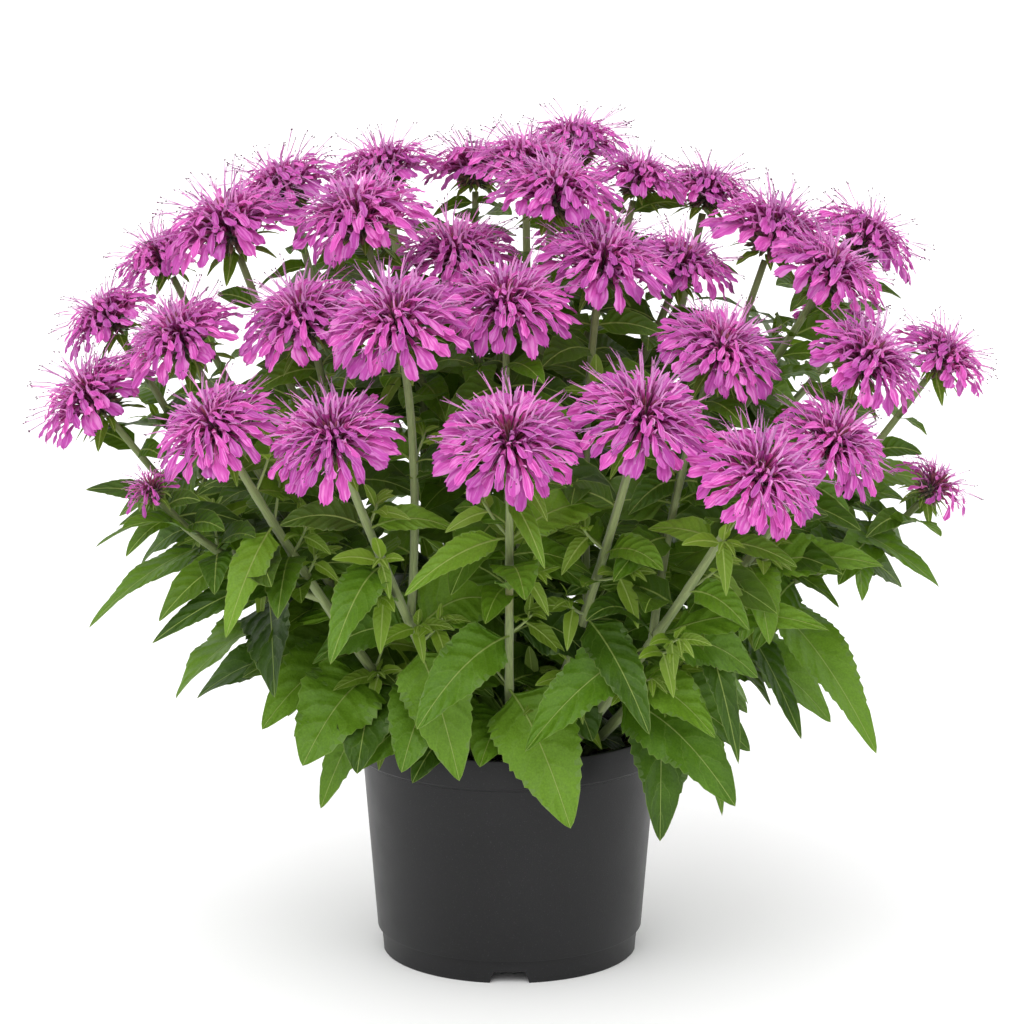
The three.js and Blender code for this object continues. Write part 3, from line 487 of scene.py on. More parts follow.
def paired_leaves(stalk, places, lengths, seed):
    """The opposite pairs of leaves up a stalk, each pair turned across the one below."""
    wanted = []
    for pair, at in enumerate(places):
        for side, sign in enumerate([1, -1]):
            draw = draws(seed + 2 * pair + side)
            length = lengths[pair] * (1 + spread_draw(draw, LENGTH_SPREAD))
            turn = pair * math.pi / 2 + spread_draw(draw, TURN_SPREAD)
            heading = stalk.heading(at, sign, turn)
            heading[2] = PAIR_DROP + spread_draw(draw, DROP_SPREAD)
            tip = stalk.path.point(at) + unit(heading) * length
            wanted.append((stalk, at, tip, length * PAIR_WIDTH, length * PAIR_ARCH))
    return wanted


def bent_leaf(wanted, seed, attempt):
    """One way to bend a leaf: the first is as drawn, and the later ones stray further from it."""
    stalk, at, tip, width, arch = wanted
    draw = draws(seed * BEND_SEED + attempt)
    stray = BEND_STEP * attempt
    tip = tip + np.array([spread_draw(draw, stray) for _ in range(3)])
    arch = arch + spread_draw(draw, ARCH_STEP * attempt)
    middle = stalk.path.point(at)
    heading = unit(tip - middle)
    taken = [leaf["side"] for leaf in stalk.leaves if leaf["at"] == at]
    directions = stalk.directions(at)
    facings = [-1 if side in taken else directions[side] @ heading for side in range(4)]
    side = int(np.argmax(facings))
    if facings[side] < LEAST_FACING:
        return None
    root = middle + directions[side] * stalk.half_side(at)
    return leaf_between(root, tip, arch, width, at=at, side=side)


def leaf_between(root, tip, arch, width, **more):
    """A leaf from its root to its tip, rolled to show its face to the nearer outside."""
    bend = root + BEND_PLACE * (tip - root) + UP * arch
    level = unit(np.array([root[1] - tip[1], tip[0] - root[0], 0]))
    shown = unit(np.array([LEAF_SIDEWAYS * root[0], root[1], 0]))
    roll = LEAF_ROLL * (level @ shown)
    length = np.linalg.norm(tip - root)
    rib = Curve(root, bend, tip)
    return {"rib": rib, "width": width, "level": level, "roll": roll, "length": length, **more}


def plan_stem(index):
    """Lays out one stem as in the solids, and keeps the leaves that the solids grew."""
    heads, forks, drawn, *bare_foot = STEMS[index]
    path = main_path(heads)
    main = Stalk(path, HALF_SIDE_BELOW, heads[0])
    main.buried = BURIED_DEPTH
    sides = [
        Stalk(side_path(path, fork, head), HALF_SIDE_OF_SIDE, head)
        for fork, head in zip(forks, heads[1:])
    ]
    seed = STEM_SEED * (index + 1)
    wanted = [(main, at, np.array(tip, float), width, arch) for at, tip, width, arch in drawn]
    pairs = paired_leaves(main, PAIR_PLACES, PAIR_LENGTHS, seed)
    wanted += pairs[2:] if bare_foot else pairs
    for i, side in enumerate(sides):
        wanted += paired_leaves(side, [SIDE_PAIR_PLACE], [SIDE_PAIR_LENGTH], seed + SIDE_SEED + 2 * i)
    grown = solid_points(f"stem_{index + 1:02d}")
    for k, leaf in enumerate(wanted):
        keep_grown(leaf, seed + k, grown)
    return [main, *sides]


def solid_points(node):
    """The corners of a solid, in millimetres."""
    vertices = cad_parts[node].data.vertices
    points = np.empty(3 * len(vertices))
    vertices.foreach_get("co", points)
    return points.reshape(-1, 3) / MM


def keep_grown(wanted, seed, grown):
    """Keeps the bend of a leaf whose tip is a corner of the solid."""
    for attempt in range(LEAF_TRIES):
        leaf = bent_leaf(wanted, seed, attempt)
        if leaf is None:
            continue
        if np.abs(grown - leaf["rib"].end).max(axis=1).min() < TIP_MATCH:
            wanted[0].leaves.append(leaf)
            return


def leaf_rows(length, tooth_length, draw):
    """Shares of a leaf's length and how far its edge stands there: forward teeth, a plain tip."""
    teeth = max(4, round((TEETH_TO - PETIOLE) * length / tooth_length))
    step = (TEETH_TO - PETIOLE) / teeth
    shares = [0, PETIOLE * 0.5, PETIOLE]
    edges = [1, 1, 1]
    for tooth in range(teeth):
        start = PETIOLE + (tooth + 0.1 + 0.2 * draw()) * step
        depth = TOOTH_DEPTH * (0.6 + 0.8 * draw()) * ease(*TOOTHED_LENGTHS, length)
        shares += [start, start + 0.72 * step]
        edges += [1 - depth, 1 + 0.6 * depth]
    shares += [0.9, 0.95, 0.98, 1]
    edges += [1, 1, 1, 1]
    return np.array(shares), np.array(edges)


def ease(low, high, value):
    """Climbs smoothly from 0 at low to 1 at high."""
    share = np.clip((value - low) / (high - low), 0, 1)
    return share * share * (3 - 2 * share)


def add_leaf(surface, leaf, seed, youth=0.0, fine=True):
    """A leaf with a petiole and a toothed, rippled blade folded at its midrib.

    A fine leaf has close teeth and an under face. A plain one is a single sheet, darker in tone as
    painted shade.
    """
    draw = draws(seed)
    # A plain leaf's tone is scaled down: painted shade inside the clump.
    shade = draw() * (1 if fine else PLAIN_PAINTED_SHADE)
    columns = LEAF_COLUMNS if fine else PLAIN_COLUMNS
    shares, edges = leaf_rows(leaf["length"], TOOTH_LENGTH if fine else PLAIN_TOOTH_LENGTH, draw)
    outline = np.sin(math.pi * shares**OUTLINE_PEAK).clip(0) ** OUTLINE_FULLNESS
    half = leaf["width"] / 2 * outline * ease(PETIOLE * 0.6, BLADE_FULL_FROM, shares)
    half = np.maximum(half, PETIOLE_HALF_WIDTH * (1 - ease(PETIOLE, BLADE_FULL_FROM, shares)))
    phase = TAU * draw()
    waves = 1.5 + 1.5 * draw()
    twist = leaf["roll"] + spread_draw(draw, TWIST) * shares**2
    centres, tangents = curve_points(leaf["rib"], shares)
    centres[:, 2] -= CURL * leaf["length"] * (0.5 + draw()) * shares**3
    above = np.cross(tangents, leaf["level"])
    above /= np.linalg.norm(above, axis=1)[:, None]
    cos, sin = np.cos(twist)[:, None], np.sin(twist)[:, None]
    sides = cos * leaf["level"] - sin * above
    ups = cos * above + sin * leaf["level"]
    blade = ease(PETIOLE, BLADE_FULL_FROM, shares)[:, None]
    turn = phase + TAU * waves * shares[:, None] + 1.5 * np.sign(columns)
    ripple = 2 * RIPPLE * columns**2 * np.sin(turn)
    crown = HALF_CROWN * np.abs(columns) * (1 - np.abs(columns))
    lift = (LEAF_FOLD * np.abs(columns) + crown + ripple) * half[:, None] * blade
    toothed = np.where(np.abs(columns) == 1, edges[:, None], 1)
    offsets = half[:, None] * columns * toothed
    grid = sheet(centres, sides, ups, offsets, lift)
    reach = np.abs(offsets).ravel()
    if not fine:
        surface.add_grid(grid, columns, shares, (shade, youth, 0), reach=reach)
        return
    body = ups[:, None] * (LEAF_THICKNESS / 2 * (1 - columns**2))[:, None]
    surface.add_grid(grid + body, columns, shares, (shade, youth, 0), reach=reach)
    surface.add_grid(grid - body, columns, shares, (shade, youth, 1), flip=True, reach=reach)


def rings(section, sides, others):
    """A section laid out along pairs of directions, as rows of offsets."""
    sides, others = np.atleast_2d(sides), np.atleast_2d(others)
    return section[None, :, :1] * sides[:, None] + section[None, :, 1:] * others[:, None]


def sheet(centres, sides, ups, offsets, lift):
    """Rows of points about their centres, so far to the side and so far up."""
    sides = np.atleast_2d(sides)
    return centres[:, None] + sides[:, None] * offsets[:, :, None] + ups[:, None] * lift[:, :, None]


def add_rod(surface, centres, sides, others, radii, section, trait):
    """A rod through the centres with the given section, closed to a point at its end."""
    grid = centres[:, None] + rings(section, sides, others) * radii[:, None, None]
    grid = np.concatenate([grid, np.repeat(centres[-1:, None], len(section), axis=1)])
    along = np.linspace(0, 1, len(grid))
    across = np.linspace(-1, 1, len(section))
    surface.add_grid(grid, across, along, trait, STALK_SLOT, wrap=True)


def square_section():
    """A square with round corners and a shallow groove down each side."""
    corners = []
    for quarter in range(4):
        middle = TAU / 8 + quarter * TAU / 4
        for turn, radius in [(-0.25, 1.22), (0.25, 1.22), (TAU / 8, 0.95)]:
            corners.append((radius * math.cos(middle + turn), radius * math.sin(middle + turn)))
    return np.array(corners)


def add_stalk(surface, stalk):
    """A square stem, swollen a little at its leaf pairs."""
    start = -stalk.buried / stalk.path.length()
    shares = np.linspace(0, stalk.end, STALK_ROWS)
    if stalk.buried:
        shares = np.concatenate([[start], shares])
    inside = shares.clip(0)
    centres, tangents = curve_points(stalk.path, inside)
    centres += tangents * ((shares - inside) * stalk.path.length())[:, None]
    swelling = sum(np.exp(-(((shares - leaf["at"]) / NODE_REACH) ** 2)) for leaf in stalk.leaves)
    radii = stalk.thickness + inside * (HALF_SIDE_ABOVE - stalk.thickness)
    radii = radii * (1 + NODE_SWELLING * np.clip(swelling, 0, 1))
    others = np.cross(tangents, stalk.across)
    add_rod(surface, centres, stalk.across, others, radii, square_section(), (0.5, 0.3, 0))


def ring_section(count):
    """A round section with this many corners."""
    angles = np.arange(count) * TAU / count
    return np.stack([np.cos(angles), np.sin(angles)], axis=1)


def spun(places, azimuth):
    """Places of radius and height, turned to an azimuth about the head's axis."""
    places = np.asarray(places, float)
    return np.stack(
        [places[:, 0] * math.cos(azimuth), places[:, 0] * math.sin(azimuth), places[:, 1]], axis=1
    )


def curve_points(curve, shares):
    """Points and directions along a curve."""
    points = np.array([curve.point(share) for share in shares])
    tangents = np.array([curve.tangent(share) for share in shares])
    return points, tangents


def jittered(place, draw, amount):
    """A place of radius and height, moved a little."""
    return place[0] + spread_draw(draw, amount), place[1] + spread_draw(draw, amount)


def add_floret(surface, head, whorl, azimuth, draw, size, fine):
    """One tubular flower: its tube, its drooping lower lip and its narrow upper lip."""
    mouth = jittered(whorl["mouth"], draw, MOUTH_SPREAD)
    lean = spread_draw(draw, LEAN)
    shade = draw()
    side = np.array([-math.sin(azimuth), math.cos(azimuth), 0])
    tube = Curve(*spun([whorl["start"], whorl["arch"], mouth], azimuth))
    add_tube(surface, head, tube, side, shade, size)
    bend = jittered(whorl["bend"], draw, BEND_SPREAD)
    tip = jittered(whorl["tip"], draw, TIP_SPREAD)
    lower = Curve(*spun([mouth, bend, tip], azimuth))
    lower.bend = lower.bend + side * lean * 9
    lower.end = lower.end + side * lean * 26
    width = whorl["width"] * (0.85 + 0.35 * draw()) * size
    add_lip(surface, head, lower, side, width, shade, draw, fine)
    is_long = draw() < whorl["long_share"]
    end = jittered(whorl["long" if is_long else "upper"], draw, UPPER_SPREAD)
    middle = ((mouth[0] + end[0]) / 2 - 0.5, (mouth[1] + end[1]) / 2 + 1.5)
    upper = Curve(*spun([mouth, middle, end], azimuth))
    upper.end = upper.end + side * lean * 18
    add_upper(surface, head, upper, side, LONG_UPPER_WIDTH if is_long else UPPER_WIDTH, shade)
    if is_long:
        for sign in [-1, 1]:
            add_stamen(surface, head, upper, side * sign, shade, draw)


def add_tube(surface, head, tube, side, shade, size):
    """The narrow tube of a floret, widening to its mouth."""
    centres, tangents = curve_points(tube, TUBE_SHARES)
    others = np.cross(tangents, side)
    radii = (TUBE_RADIUS + (MOUTH_RADIUS - TUBE_RADIUS) * TUBE_SHARES**3) * size
    ring = rings(ring_section(5), side, others)
    grid = centres[:, None] + ring * radii[:, None, None]
    add_round(surface, head, grid, TUBE_SHARES * 0.5, (shade, 0, 0))


def add_round(surface, head, grid, along, trait, slot=0):
    """Adds rings of points about a head's centre."""
    across = np.linspace(-1, 1, grid.shape[1])
    surface.add_grid(placed(head, grid), across, along, trait, slot, wrap=True)


def upwards(vectors):
    """The vectors, turned round where they point down."""
    return vectors * np.sign(vectors[:, 2:3] + 1e-6)


def placed(head, grid):
    """A grid of points about a head's centre, in the plant's frame, wider on a high head."""
    fullness = 1 + FULLER * ease(FULL_FROM, FULL_AT, head.centre[2])
    return head.place(fullness * grid.reshape(-1, 3)).reshape(grid.shape)


def add_lip(surface, head, curve, side, width, shade, draw, fine):
    """A lower lip: a spoon of a petal that narrows to a notched end, rippled and ragged."""
    rows = slice(None) if fine else FEWER_ROWS
    step = 2 if width < NARROW_WIDTH else 1
    shares, widths = LIP_SHARES[rows], LIP_WIDTHS[rows]
    columns, notch = LIP_COLUMNS[::step], LIP_NOTCH[::step]
    centres, tangents = curve_points(curve, shares)
    ups = upwards(-np.cross(tangents, side))
    twist = spread_draw(draw, LIP_TWIST) * shares[:, None]
    sides = side * np.cos(twist) + ups * np.sin(twist)
    ups = upwards(np.cross(sides, tangents))
    half = width / 2 * widths
    ragged = np.ones((len(shares), len(columns)))
    for row in range(2, len(shares)):
        ragged[row, 0] += spread_draw(draw, LIP_RAGGED)
        ragged[row, -1] += spread_draw(draw, LIP_RAGGED)
    phase = TAU * draw()
    sag = 0.3 * np.abs(columns) - 0.4 * columns**2
    wave = 0.24 * np.abs(columns) * np.sin(phase + 11 * shares[:, None] + 2 * columns)
    offsets = half[:, None] * columns * ragged
    lift = (sag + wave) * half[:, None]
    grid = sheet(centres, sides, ups, offsets, lift)
    lobes = notch + np.array([spread_draw(draw, 0.7) for _ in columns])
    grid[-1] += tangents[-1] * lobes[:, None] * width / 6
    surface.add_grid(placed(head, grid), columns, 0.5 + 0.5 * shares, (shade, 0.5, draw()))


def add_upper(surface, head, curve, side, width, shade):
    """The upper lip: a narrow folded spike."""
    shares = np.linspace(0, 1, 4)
    columns = np.array([-1, 0, 1])
    centres, tangents = curve_points(curve, shares)
    ups = upwards(np.cross(tangents, side))
    half = width / 2 * (1 - 0.75 * shares[:, None])
    grid = sheet(centres, side, ups, half * columns, 0.5 * half * (1 - columns**2))
    surface.add_grid(placed(head, grid), columns, 0.5 + 0.5 * shares, (shade, 1, 0.5))


def add_stamen(surface, head, curve, side, shade, draw):
    """A thread that runs along the upper lip, reaches past it and ends in a small anther."""
    heading = curve.tangent(1) + side * 0.3 + UP * spread_draw(draw, 0.35)
    end = curve.end + unit(heading) * STAMEN_REACH * (0.3 + 1.2 * draw())
    thread = Curve(curve.point(0.5) + side * 0.3, curve.end + side * 0.4, end)
    shares = np.linspace(0, 1, 4)
    centres, tangents = curve_points(thread, shares)
    others = np.cross(tangents, side)
    grid = centres[:, None] + rings(ring_section(3) * STAMEN_RADIUS, side, others)
    trait = (shade, 1, 0)
    add_round(surface, head, grid, 0.8 + 0.2 * shares, trait)
    ring = rings(ring_section(4), side, others[-1])
    steps, sizes = ANTHER_STEPS[:, None, None], ANTHER_SIZES[:, None, None]
    grid = centres[-1] + tangents[-1] * steps + ring * sizes
    add_round(surface, head, grid, np.zeros(len(ANTHER_STEPS)), trait, ANTHER_SLOT)


def add_bloom(surface, head):
    """The coloured whorls of a flower head, thinner on a head that has only begun to open."""
    draw = draws(BLOOM_SEED + head.number)
    young = head.width < YOUNG_WIDTH
    size = YOUNG_SIZE if young else 1
    turn = TAU * draw()
    for level, whorl in enumerate(WHORLS):
        count = math.ceil(whorl["count"] * YOUNG_SHARE) if young else whorl["count"]
        for i in range(count):
            azimuth = turn + level * WHORL_TURN + (i + spread_draw(draw, 0.3)) * TAU / count
            add_floret(surface, head, whorl, azimuth, draw, size, level < FINE_WHORLS)
    add_heart(surface, head, draw)


def add_heart(surface, head, draw):
    """The unopened calyxes and buds in the middle of a head."""
    for i in range(HEART_CONES):
        tilt = HEART_TILT * math.sqrt((i + 0.5) / HEART_CONES)
        heading = spun([(math.sin(tilt), math.cos(tilt))], i * WHORL_TURN)[0]
        length = 8 + 4 * draw()
        start = heading * 3 - UP
        add_cone(surface, head, start, heading, length, HEART_RADIUS, draw(), HEART_SLOT)


def add_cone(surface, head, start, heading, length, radius, shade, slot):
    """A small calyx: a tube that ends in a point."""
    side = unit(np.cross(heading, UP if abs(heading[2]) < 0.9 else np.array([1.0, 0, 0])))
    ring = rings(ring_section(4), side, np.cross(heading, side))
    steps = CONE_STEPS * length
    radii = CONE_RADII * radius
    grid = start + heading * steps[:, None, None] + ring * radii[:, None, None]
    add_round(surface, head, grid, steps / steps[-1], (shade, 0, 0), slot)


def add_burr(surface, head):
    """The green of a head: a ball of calyxes."""
    draw = draws(BURR_SEED + head.number)
    for i in range(CALYXES):
        tilt = math.acos(0.55 - 1.35 * (i + 0.5) / CALYXES)
        heading = spun([(math.sin(tilt), math.cos(tilt))], i * CALYX_TURN)[0]
        length = CALYX_LENGTH * (0.85 + 0.3 * draw())
        start = BURR_CENTRE + heading * 2
        add_cone(surface, head, start, heading, length, CALYX_RADIUS, draw(), CALYX_SLOT)


def add_bracts(surface, head):
    """The ruff under a head: long and short bracts by turns, and thin ones among them."""
    draw = draws(BRACTS_SEED + head.number)
    first = HEAD_SEEDS * head.number
    for i in range(BRACTS):
        azimuth = (i + spread_draw(draw, 0.2)) * TAU / BRACTS
        reach, drop, width = (21, -17, 7.5) if i % 2 else (16, -13, 5)
        end = (reach * (0.9 + 0.25 * draw()), drop - 4 * draw())
        root, tip = head.place(spun([(2.5, -10.5), end], azimuth))
        leaf = leaf_between(root, tip, 2.5, width * head.scale)
        leaf["roll"] = 0
        add_leaf(surface, leaf, BRACT_LEAF_SEED + first + i, 0.2 + 0.3 * draw(), fine=False)
    for i in range(THIN_BRACTS):
        azimuth = (i + draw()) * TAU / THIN_BRACTS
        end = (18 + 7 * draw(), -8 - 8 * draw())
        root, tip = head.place(spun([(4, -8), end], azimuth))
        leaf = leaf_between(root, tip, 3 + 3 * draw(), THIN_BRACT_WIDTH)
        add_leaf(surface, leaf, THIN_BRACT_SEED + first + i, 0.1, fine=False)


def add_shoot(surface, stalk, at, seed):
    """A young side shoot in the angle of a leaf: a short stalk with small bright leaves."""
    draw = draws(seed)
    directions = stalk.directions(at)
    side = directions[int(4 * draw())] + 0.6 * directions[int(4 * draw())]
    if np.linalg.norm(side) < 0.3:
        return
    length = 10 + 16 * draw()
    start = stalk.path.point(at)
    heading = unit(unit(side) + 0.8 * stalk.path.tangent(at))
    end = start + heading * length + UP * length * 0.25
    path = Curve(start, start + heading * length * 0.6, end)
    centres, tangents = curve_points(path, np.linspace(0, 1, SHOOT_SIDES))
    level = unit(np.cross(heading, UP + 0.01 * heading[::-1]))
    others = np.cross(tangents, level)
    radii = np.linspace(1.0, 0.6, SHOOT_SIDES)
    add_rod(surface, centres, level, others, radii, ring_section(SHOOT_SIDES), (0.5, 0.9, 0))
    for i in range(SHOOT_LEAVES):
        pair = i // 2
        azimuth = i * TAU / 4 + (i // 4) * TAU / 8 + spread_draw(draw, 0.3)
        size = (SHOOT_LEAF_LENGTH - SHOOT_LEAF_SHORTER * pair) * (0.7 + 0.5 * draw())
        place = path.point(1 - 0.18 * (2 - pair))
        outward = math.cos(azimuth) * level + math.sin(azimuth) * unit(np.cross(heading, level))
        tip = place + unit(outward + heading * (0.35 + 0.5 * pair)) * size
        leaf = leaf_between(place, tip, 0.14 * size, 0.36 * size)
        add_leaf(surface, leaf, seed * 8 + i, 0.6 + 0.4 * draw(), fine=False)


def add_fill(surface, stalk, seed):
    """Pairs of smaller leaves up a stalk. On the front stalks they grow to the back alone."""
    for pair, (at, length) in enumerate(zip(FILL_PLACES, FILL_LENGTHS)):
        if at > stalk.end - 0.04:
            return
        for side, sign in enumerate([1, -1]):
            draw = draws(seed + 2 * pair + side)
            reach = length * (0.75 + 0.4 * draw())
            turn = (pair + 0.5) * math.pi / 2 + spread_draw(draw, 0.6)
            heading = stalk.heading(at, sign, turn)
            heading[2] = spread_draw(draw, 0.35) + 0.15 * (at - 0.5)
            if stalk.head.centre[1] < FILL_FRONT and heading[1] < 0.2:
                continue
            root = stalk.path.point(at)
            leaf = leaf_between(root, root + unit(heading) * reach, 0.18 * reach, 0.42 * reach)
            # These plain leaves take the darker tone of painted shade inside the clump.
            add_leaf(surface, leaf, seed + 40 + 2 * pair + side, 0.15 * draw(), fine=False)


def shader(name):
    """A new material with its shader, and helpers to add and link its nodes."""
    material = bpy.data.materials.new(name)
    material.use_nodes = True
    return material, Nodes(material.node_tree)


class Nodes:
    """Short calls to build a material's nodes."""

    def __init__(self, tree):
        self.tree = tree
        self.surface = tree.nodes["Principled BSDF"]
        self.output = tree.nodes["Material Output"]

    def add(self, kind, inputs=None, **settings):
        """Adds a node, sets it up, and links or sets its inputs."""
        node = self.tree.nodes.new("ShaderNode" + kind)
        for key, value in settings.items():
            setattr(node, key, value)
        for key, value in (inputs or {}).items():
            self.feed(node.inputs[key], value)
        return node

    def feed(self, socket, value):
        """Links a socket to another, or sets its value."""
        if isinstance(value, bpy.types.NodeSocket):
            self.tree.links.new(value, socket)
        elif isinstance(value, bpy.types.Node):
            self.tree.links.new(value.outputs[0], socket)
        else:
            socket.default_value = value

    def math(self, operation, *values):
        """What an operation makes of its numbers."""
        return self.add("Math", dict(enumerate(values)), operation=operation)

    def plus(self, first, second):
        """The sum of two numbers."""
        return self.math("ADD", first, second)

    def minus(self, first, second):
        """The first number less the second."""
        return self.math("SUBTRACT", first, second)

    def times(self, first, second):
        """The product of two numbers."""
        return self.math("MULTIPLY", first, second)

    def ramp(self, factor, *stops):
        """A colour that changes along a factor."""
        node = self.add("ValToRGB", {"Fac": factor})
        elements = node.color_ramp.elements
        while len(elements) < len(stops):
            elements.new(0.5)
        for element, (position, colour) in zip(elements, stops):
            element.position = position
            element.color = (*colour, 1)
        return node

    def blend(self, factor, first, second, blend_type="MIX"):
        """Two colours mixed by a factor."""
        node = self.tree.nodes.new("ShaderNodeMix")
        node.data_type = "RGBA"
        node.blend_type = blend_type
        for place, value in [(0, factor), (6, first), (7, second)]:
            self.feed(node.inputs[place], (*value, 1) if isinstance(value, tuple) else value)
        return node.outputs[2]

    def noise(self, scale, detail, vector=None):
        """Fractal noise, over the object's own space unless a vector is given."""
        vector = vector or self.add("TexCoord").outputs["Object"]
        node = self.add("TexNoise", {"Vector": vector, "Scale": scale, "Detail": detail})
        return node.outputs["Fac"]

    def smooth_step(self, value, low, high):
        """Climbs from 0 to 1 as a value passes from low to high."""
        node = self.add(
            "MapRange",
            {"Value": value, "From Min": low, "From Max": high},
            interpolation_type="SMOOTHSTEP",
        )
        return node.outputs[0]

    def smooth_fall(self, value, low, high):
        """Falls from 1 to 0 as a value passes from low to high."""
        return self.minus(1.0, self.smooth_step(value, low, high))

    def bump(self, height, strength, distance):
        """Sends a height to the shader's normal."""
        node = self.add("Bump", {"Height": height, "Strength": strength, "Distance": distance})
        self.feed(self.surface.inputs["Normal"], node)

    def set(self, **values):
        """Sets or links the shader's own sockets."""
        for key, value in values.items():
            if isinstance(value, tuple) and len(value) == 3:
                value = (*value, 1)
            self.feed(self.surface.inputs[key.replace("_", " ")], value)

    def see_through(self, share, colour):
        """Lets a share of the light through, as a thin leaf or petal does."""
        thin = self.add("BsdfTranslucent")
        self.feed(thin.inputs["Color"], colour)
        mixed = self.add("MixShader", {0: share, 1: self.surface, 2: thin})
        self.feed(self.output.inputs["Surface"], mixed)

    def traits(self):
        """The three numbers that every point carries."""
        attribute = self.add("Attribute", attribute_name="trait")
        parts = self.add("SeparateColor", {0: attribute.outputs["Color"]})
        return parts.outputs[0], parts.outputs[1], parts.outputs[2]

    def places(self):
        """How far across and along its part a point lies."""
        uv = self.add("UVMap", uv_map="UVMap")
        parts = self.add("SeparateXYZ", {0: uv.outputs[0]})
        return parts.outputs[0], parts.outputs[1]


def leaf_material():
    """Satin green, puffed between sunken side veins, with a pale midrib and a paler under face."""
    material, nodes = shader("bee_balm_leaf")
    shade, youth, under = nodes.traits()
    across, along = nodes.places()
    reach = nodes.add("Attribute", attribute_name="reach").outputs["Fac"]
    away = nodes.math("ABSOLUTE", across)
    wobble = nodes.times(nodes.noise(220, 2), 0.45)
    curve = nodes.times(away, nodes.plus(nodes.times(away, 0.07), 0.13))
    phase = nodes.times(nodes.minus(along, curve), 7.5)
    phase = nodes.plus(phase, nodes.plus(wobble, shade))
    nearest = nodes.math("PINGPONG", phase, 0.5)
    taper = nodes.plus(nodes.times(nodes.minus(1.0, away), 0.045), 0.02)
    side_vein = nodes.smooth_fall(nearest, 0.0, taper)
    rib_width = nodes.plus(nodes.times(nodes.minus(1.0, along), 0.55), 0.25)
    rib = nodes.smooth_fall(reach, nodes.times(rib_width, 0.4), rib_width)
    tone = nodes.plus(nodes.times(shade, 0.75), nodes.times(nodes.noise(35, 3), 0.4))
    # The darkest stop of this ramp is reached by the plain leaves, and is painted shade inside the
    # clump.
    green = nodes.ramp(
        tone, (0.18, (0.02, 0.05, 0.004)), (0.5, (0.105, 0.23, 0.011)), (0.95, (0.185, 0.35, 0.022))
    )
    mottle = nodes.ramp(nodes.noise(900, 3), (0.3, (0.78, 0.82, 0.75)), (0.75, (1.14, 1.12, 1.12)))
    colour = nodes.blend(1.0, green, mottle, "MULTIPLY")
    colour = nodes.blend(nodes.times(youth, 0.8), colour, (0.24, 0.37, 0.03))
    inwards = nodes.math("DIVIDE", nodes.minus(1.0, away), nodes.math("MAXIMUM", away, 0.1))
    from_edge = nodes.times(reach, inwards)
    edge = nodes.smooth_fall(from_edge, 0.1, 0.55)
    colour = nodes.blend(nodes.times(edge, 0.5), colour, (0.3, 0.4, 0.1))
    vein_shown = nodes.times(nodes.minus(1.0, nodes.times(youth, 0.8)), 0.3)
    colour = nodes.blend(nodes.times(side_vein, vein_shown), colour, (0.22, 0.34, 0.07))
    colour = nodes.blend(nodes.times(rib, 0.8), colour, (0.38, 0.5, 0.12))
    colour = nodes.blend(nodes.times(under, 0.35), colour, (0.19, 0.28, 0.1))
    nodes.set(Base_Color=colour, Roughness=0.45, Specular_IOR_Level=0.3)
    puff = nodes.times(nodes.smooth_step(nearest, 0.0, 0.4), nodes.minus(1.0, youth))
    puff = nodes.minus(puff, nodes.times(rib, 0.7))
    nodes.bump(nodes.plus(puff, nodes.times(nodes.noise(500, 3), 0.5)), 0.6, 0.0008)
    nodes.see_through(0.28, nodes.blend(0.5, colour, (0.2, 0.36, 0.015)))
    return material


def stalk_material():
    """Square stems, yellower when young, with fine lengthwise streaks and a bloom of hairs."""
    material, nodes = shader("bee_balm_stalk")
    _, youth, _ = nodes.traits()
    across, along = nodes.places()
    place = nodes.add("CombineXYZ", {0: nodes.times(across, 14.0), 1: nodes.times(along, 30.0)})
    streaks = nodes.noise(1.0, 4, place.outputs[0])
    colour = nodes.ramp(
        streaks, (0.25, (0.1, 0.13, 0.045)), (0.6, (0.2, 0.24, 0.09)), (0.85, (0.3, 0.32, 0.16))
    )
    blush = nodes.smooth_step(nodes.noise(18, 3), 0.56, 0.75)
    tinted = nodes.blend(nodes.times(blush, 0.35), colour, (0.2, 0.1, 0.05))
    tinted = nodes.blend(nodes.times(youth, 0.4), tinted, (0.33, 0.46, 0.1))
    nodes.set(Base_Color=tinted, Roughness=0.55, Sheen_Weight=0.25, Sheen_Roughness=0.5)
    nodes.bump(streaks, 0.4, 0.0005)
    return material


def calyx_material():
    """Dark brownish green and maroon calyxes with pale points."""
    material, nodes = shader("bee_balm_calyx")
    shade, _, _ = nodes.traits()
    _, along = nodes.places()
    tone = nodes.plus(nodes.times(shade, 0.7), nodes.times(nodes.noise(700, 2), 0.4))
    colour = nodes.ramp(
        tone,
        (0.2, (0.035, 0.03, 0.012)),
        (0.5, (0.075, 0.08, 0.02)),
        (0.75, (0.12, 0.035, 0.035)),
        (1.0, (0.2, 0.16, 0.06)),
    )
    tip = nodes.times(nodes.smooth_step(along, 0.72, 1.0), 0.4)
    tinted = nodes.blend(tip, colour, (0.32, 0.2, 0.14))
    nodes.set(Base_Color=tinted, Roughness=0.7, Sheen_Weight=0.2)
    nodes.bump(nodes.noise(2500, 3), 0.3, 0.0003)
    return material


def heart_material():
    """Dark maroon calyx mouths in the middle of a bloom."""
    material, nodes = shader("bee_balm_heart")
    shade, _, _ = nodes.traits()
    _, along = nodes.places()
    colour = nodes.ramp(
        nodes.times(along, nodes.plus(shade, 0.4)),
        (0.0, (0.03, 0.006, 0.008)), (0.6, (0.13, 0.012, 0.03)), (1.0, (0.33, 0.05, 0.12)),
    )
    tinted = nodes.blend(nodes.noise(900, 2), colour, (0.2, 0.02, 0.05))
    nodes.set(Base_Color=tinted, Roughness=0.6, Sheen_Weight=0.2)
    nodes.bump(nodes.noise(2500, 3), 0.3, 0.0003)
    return material


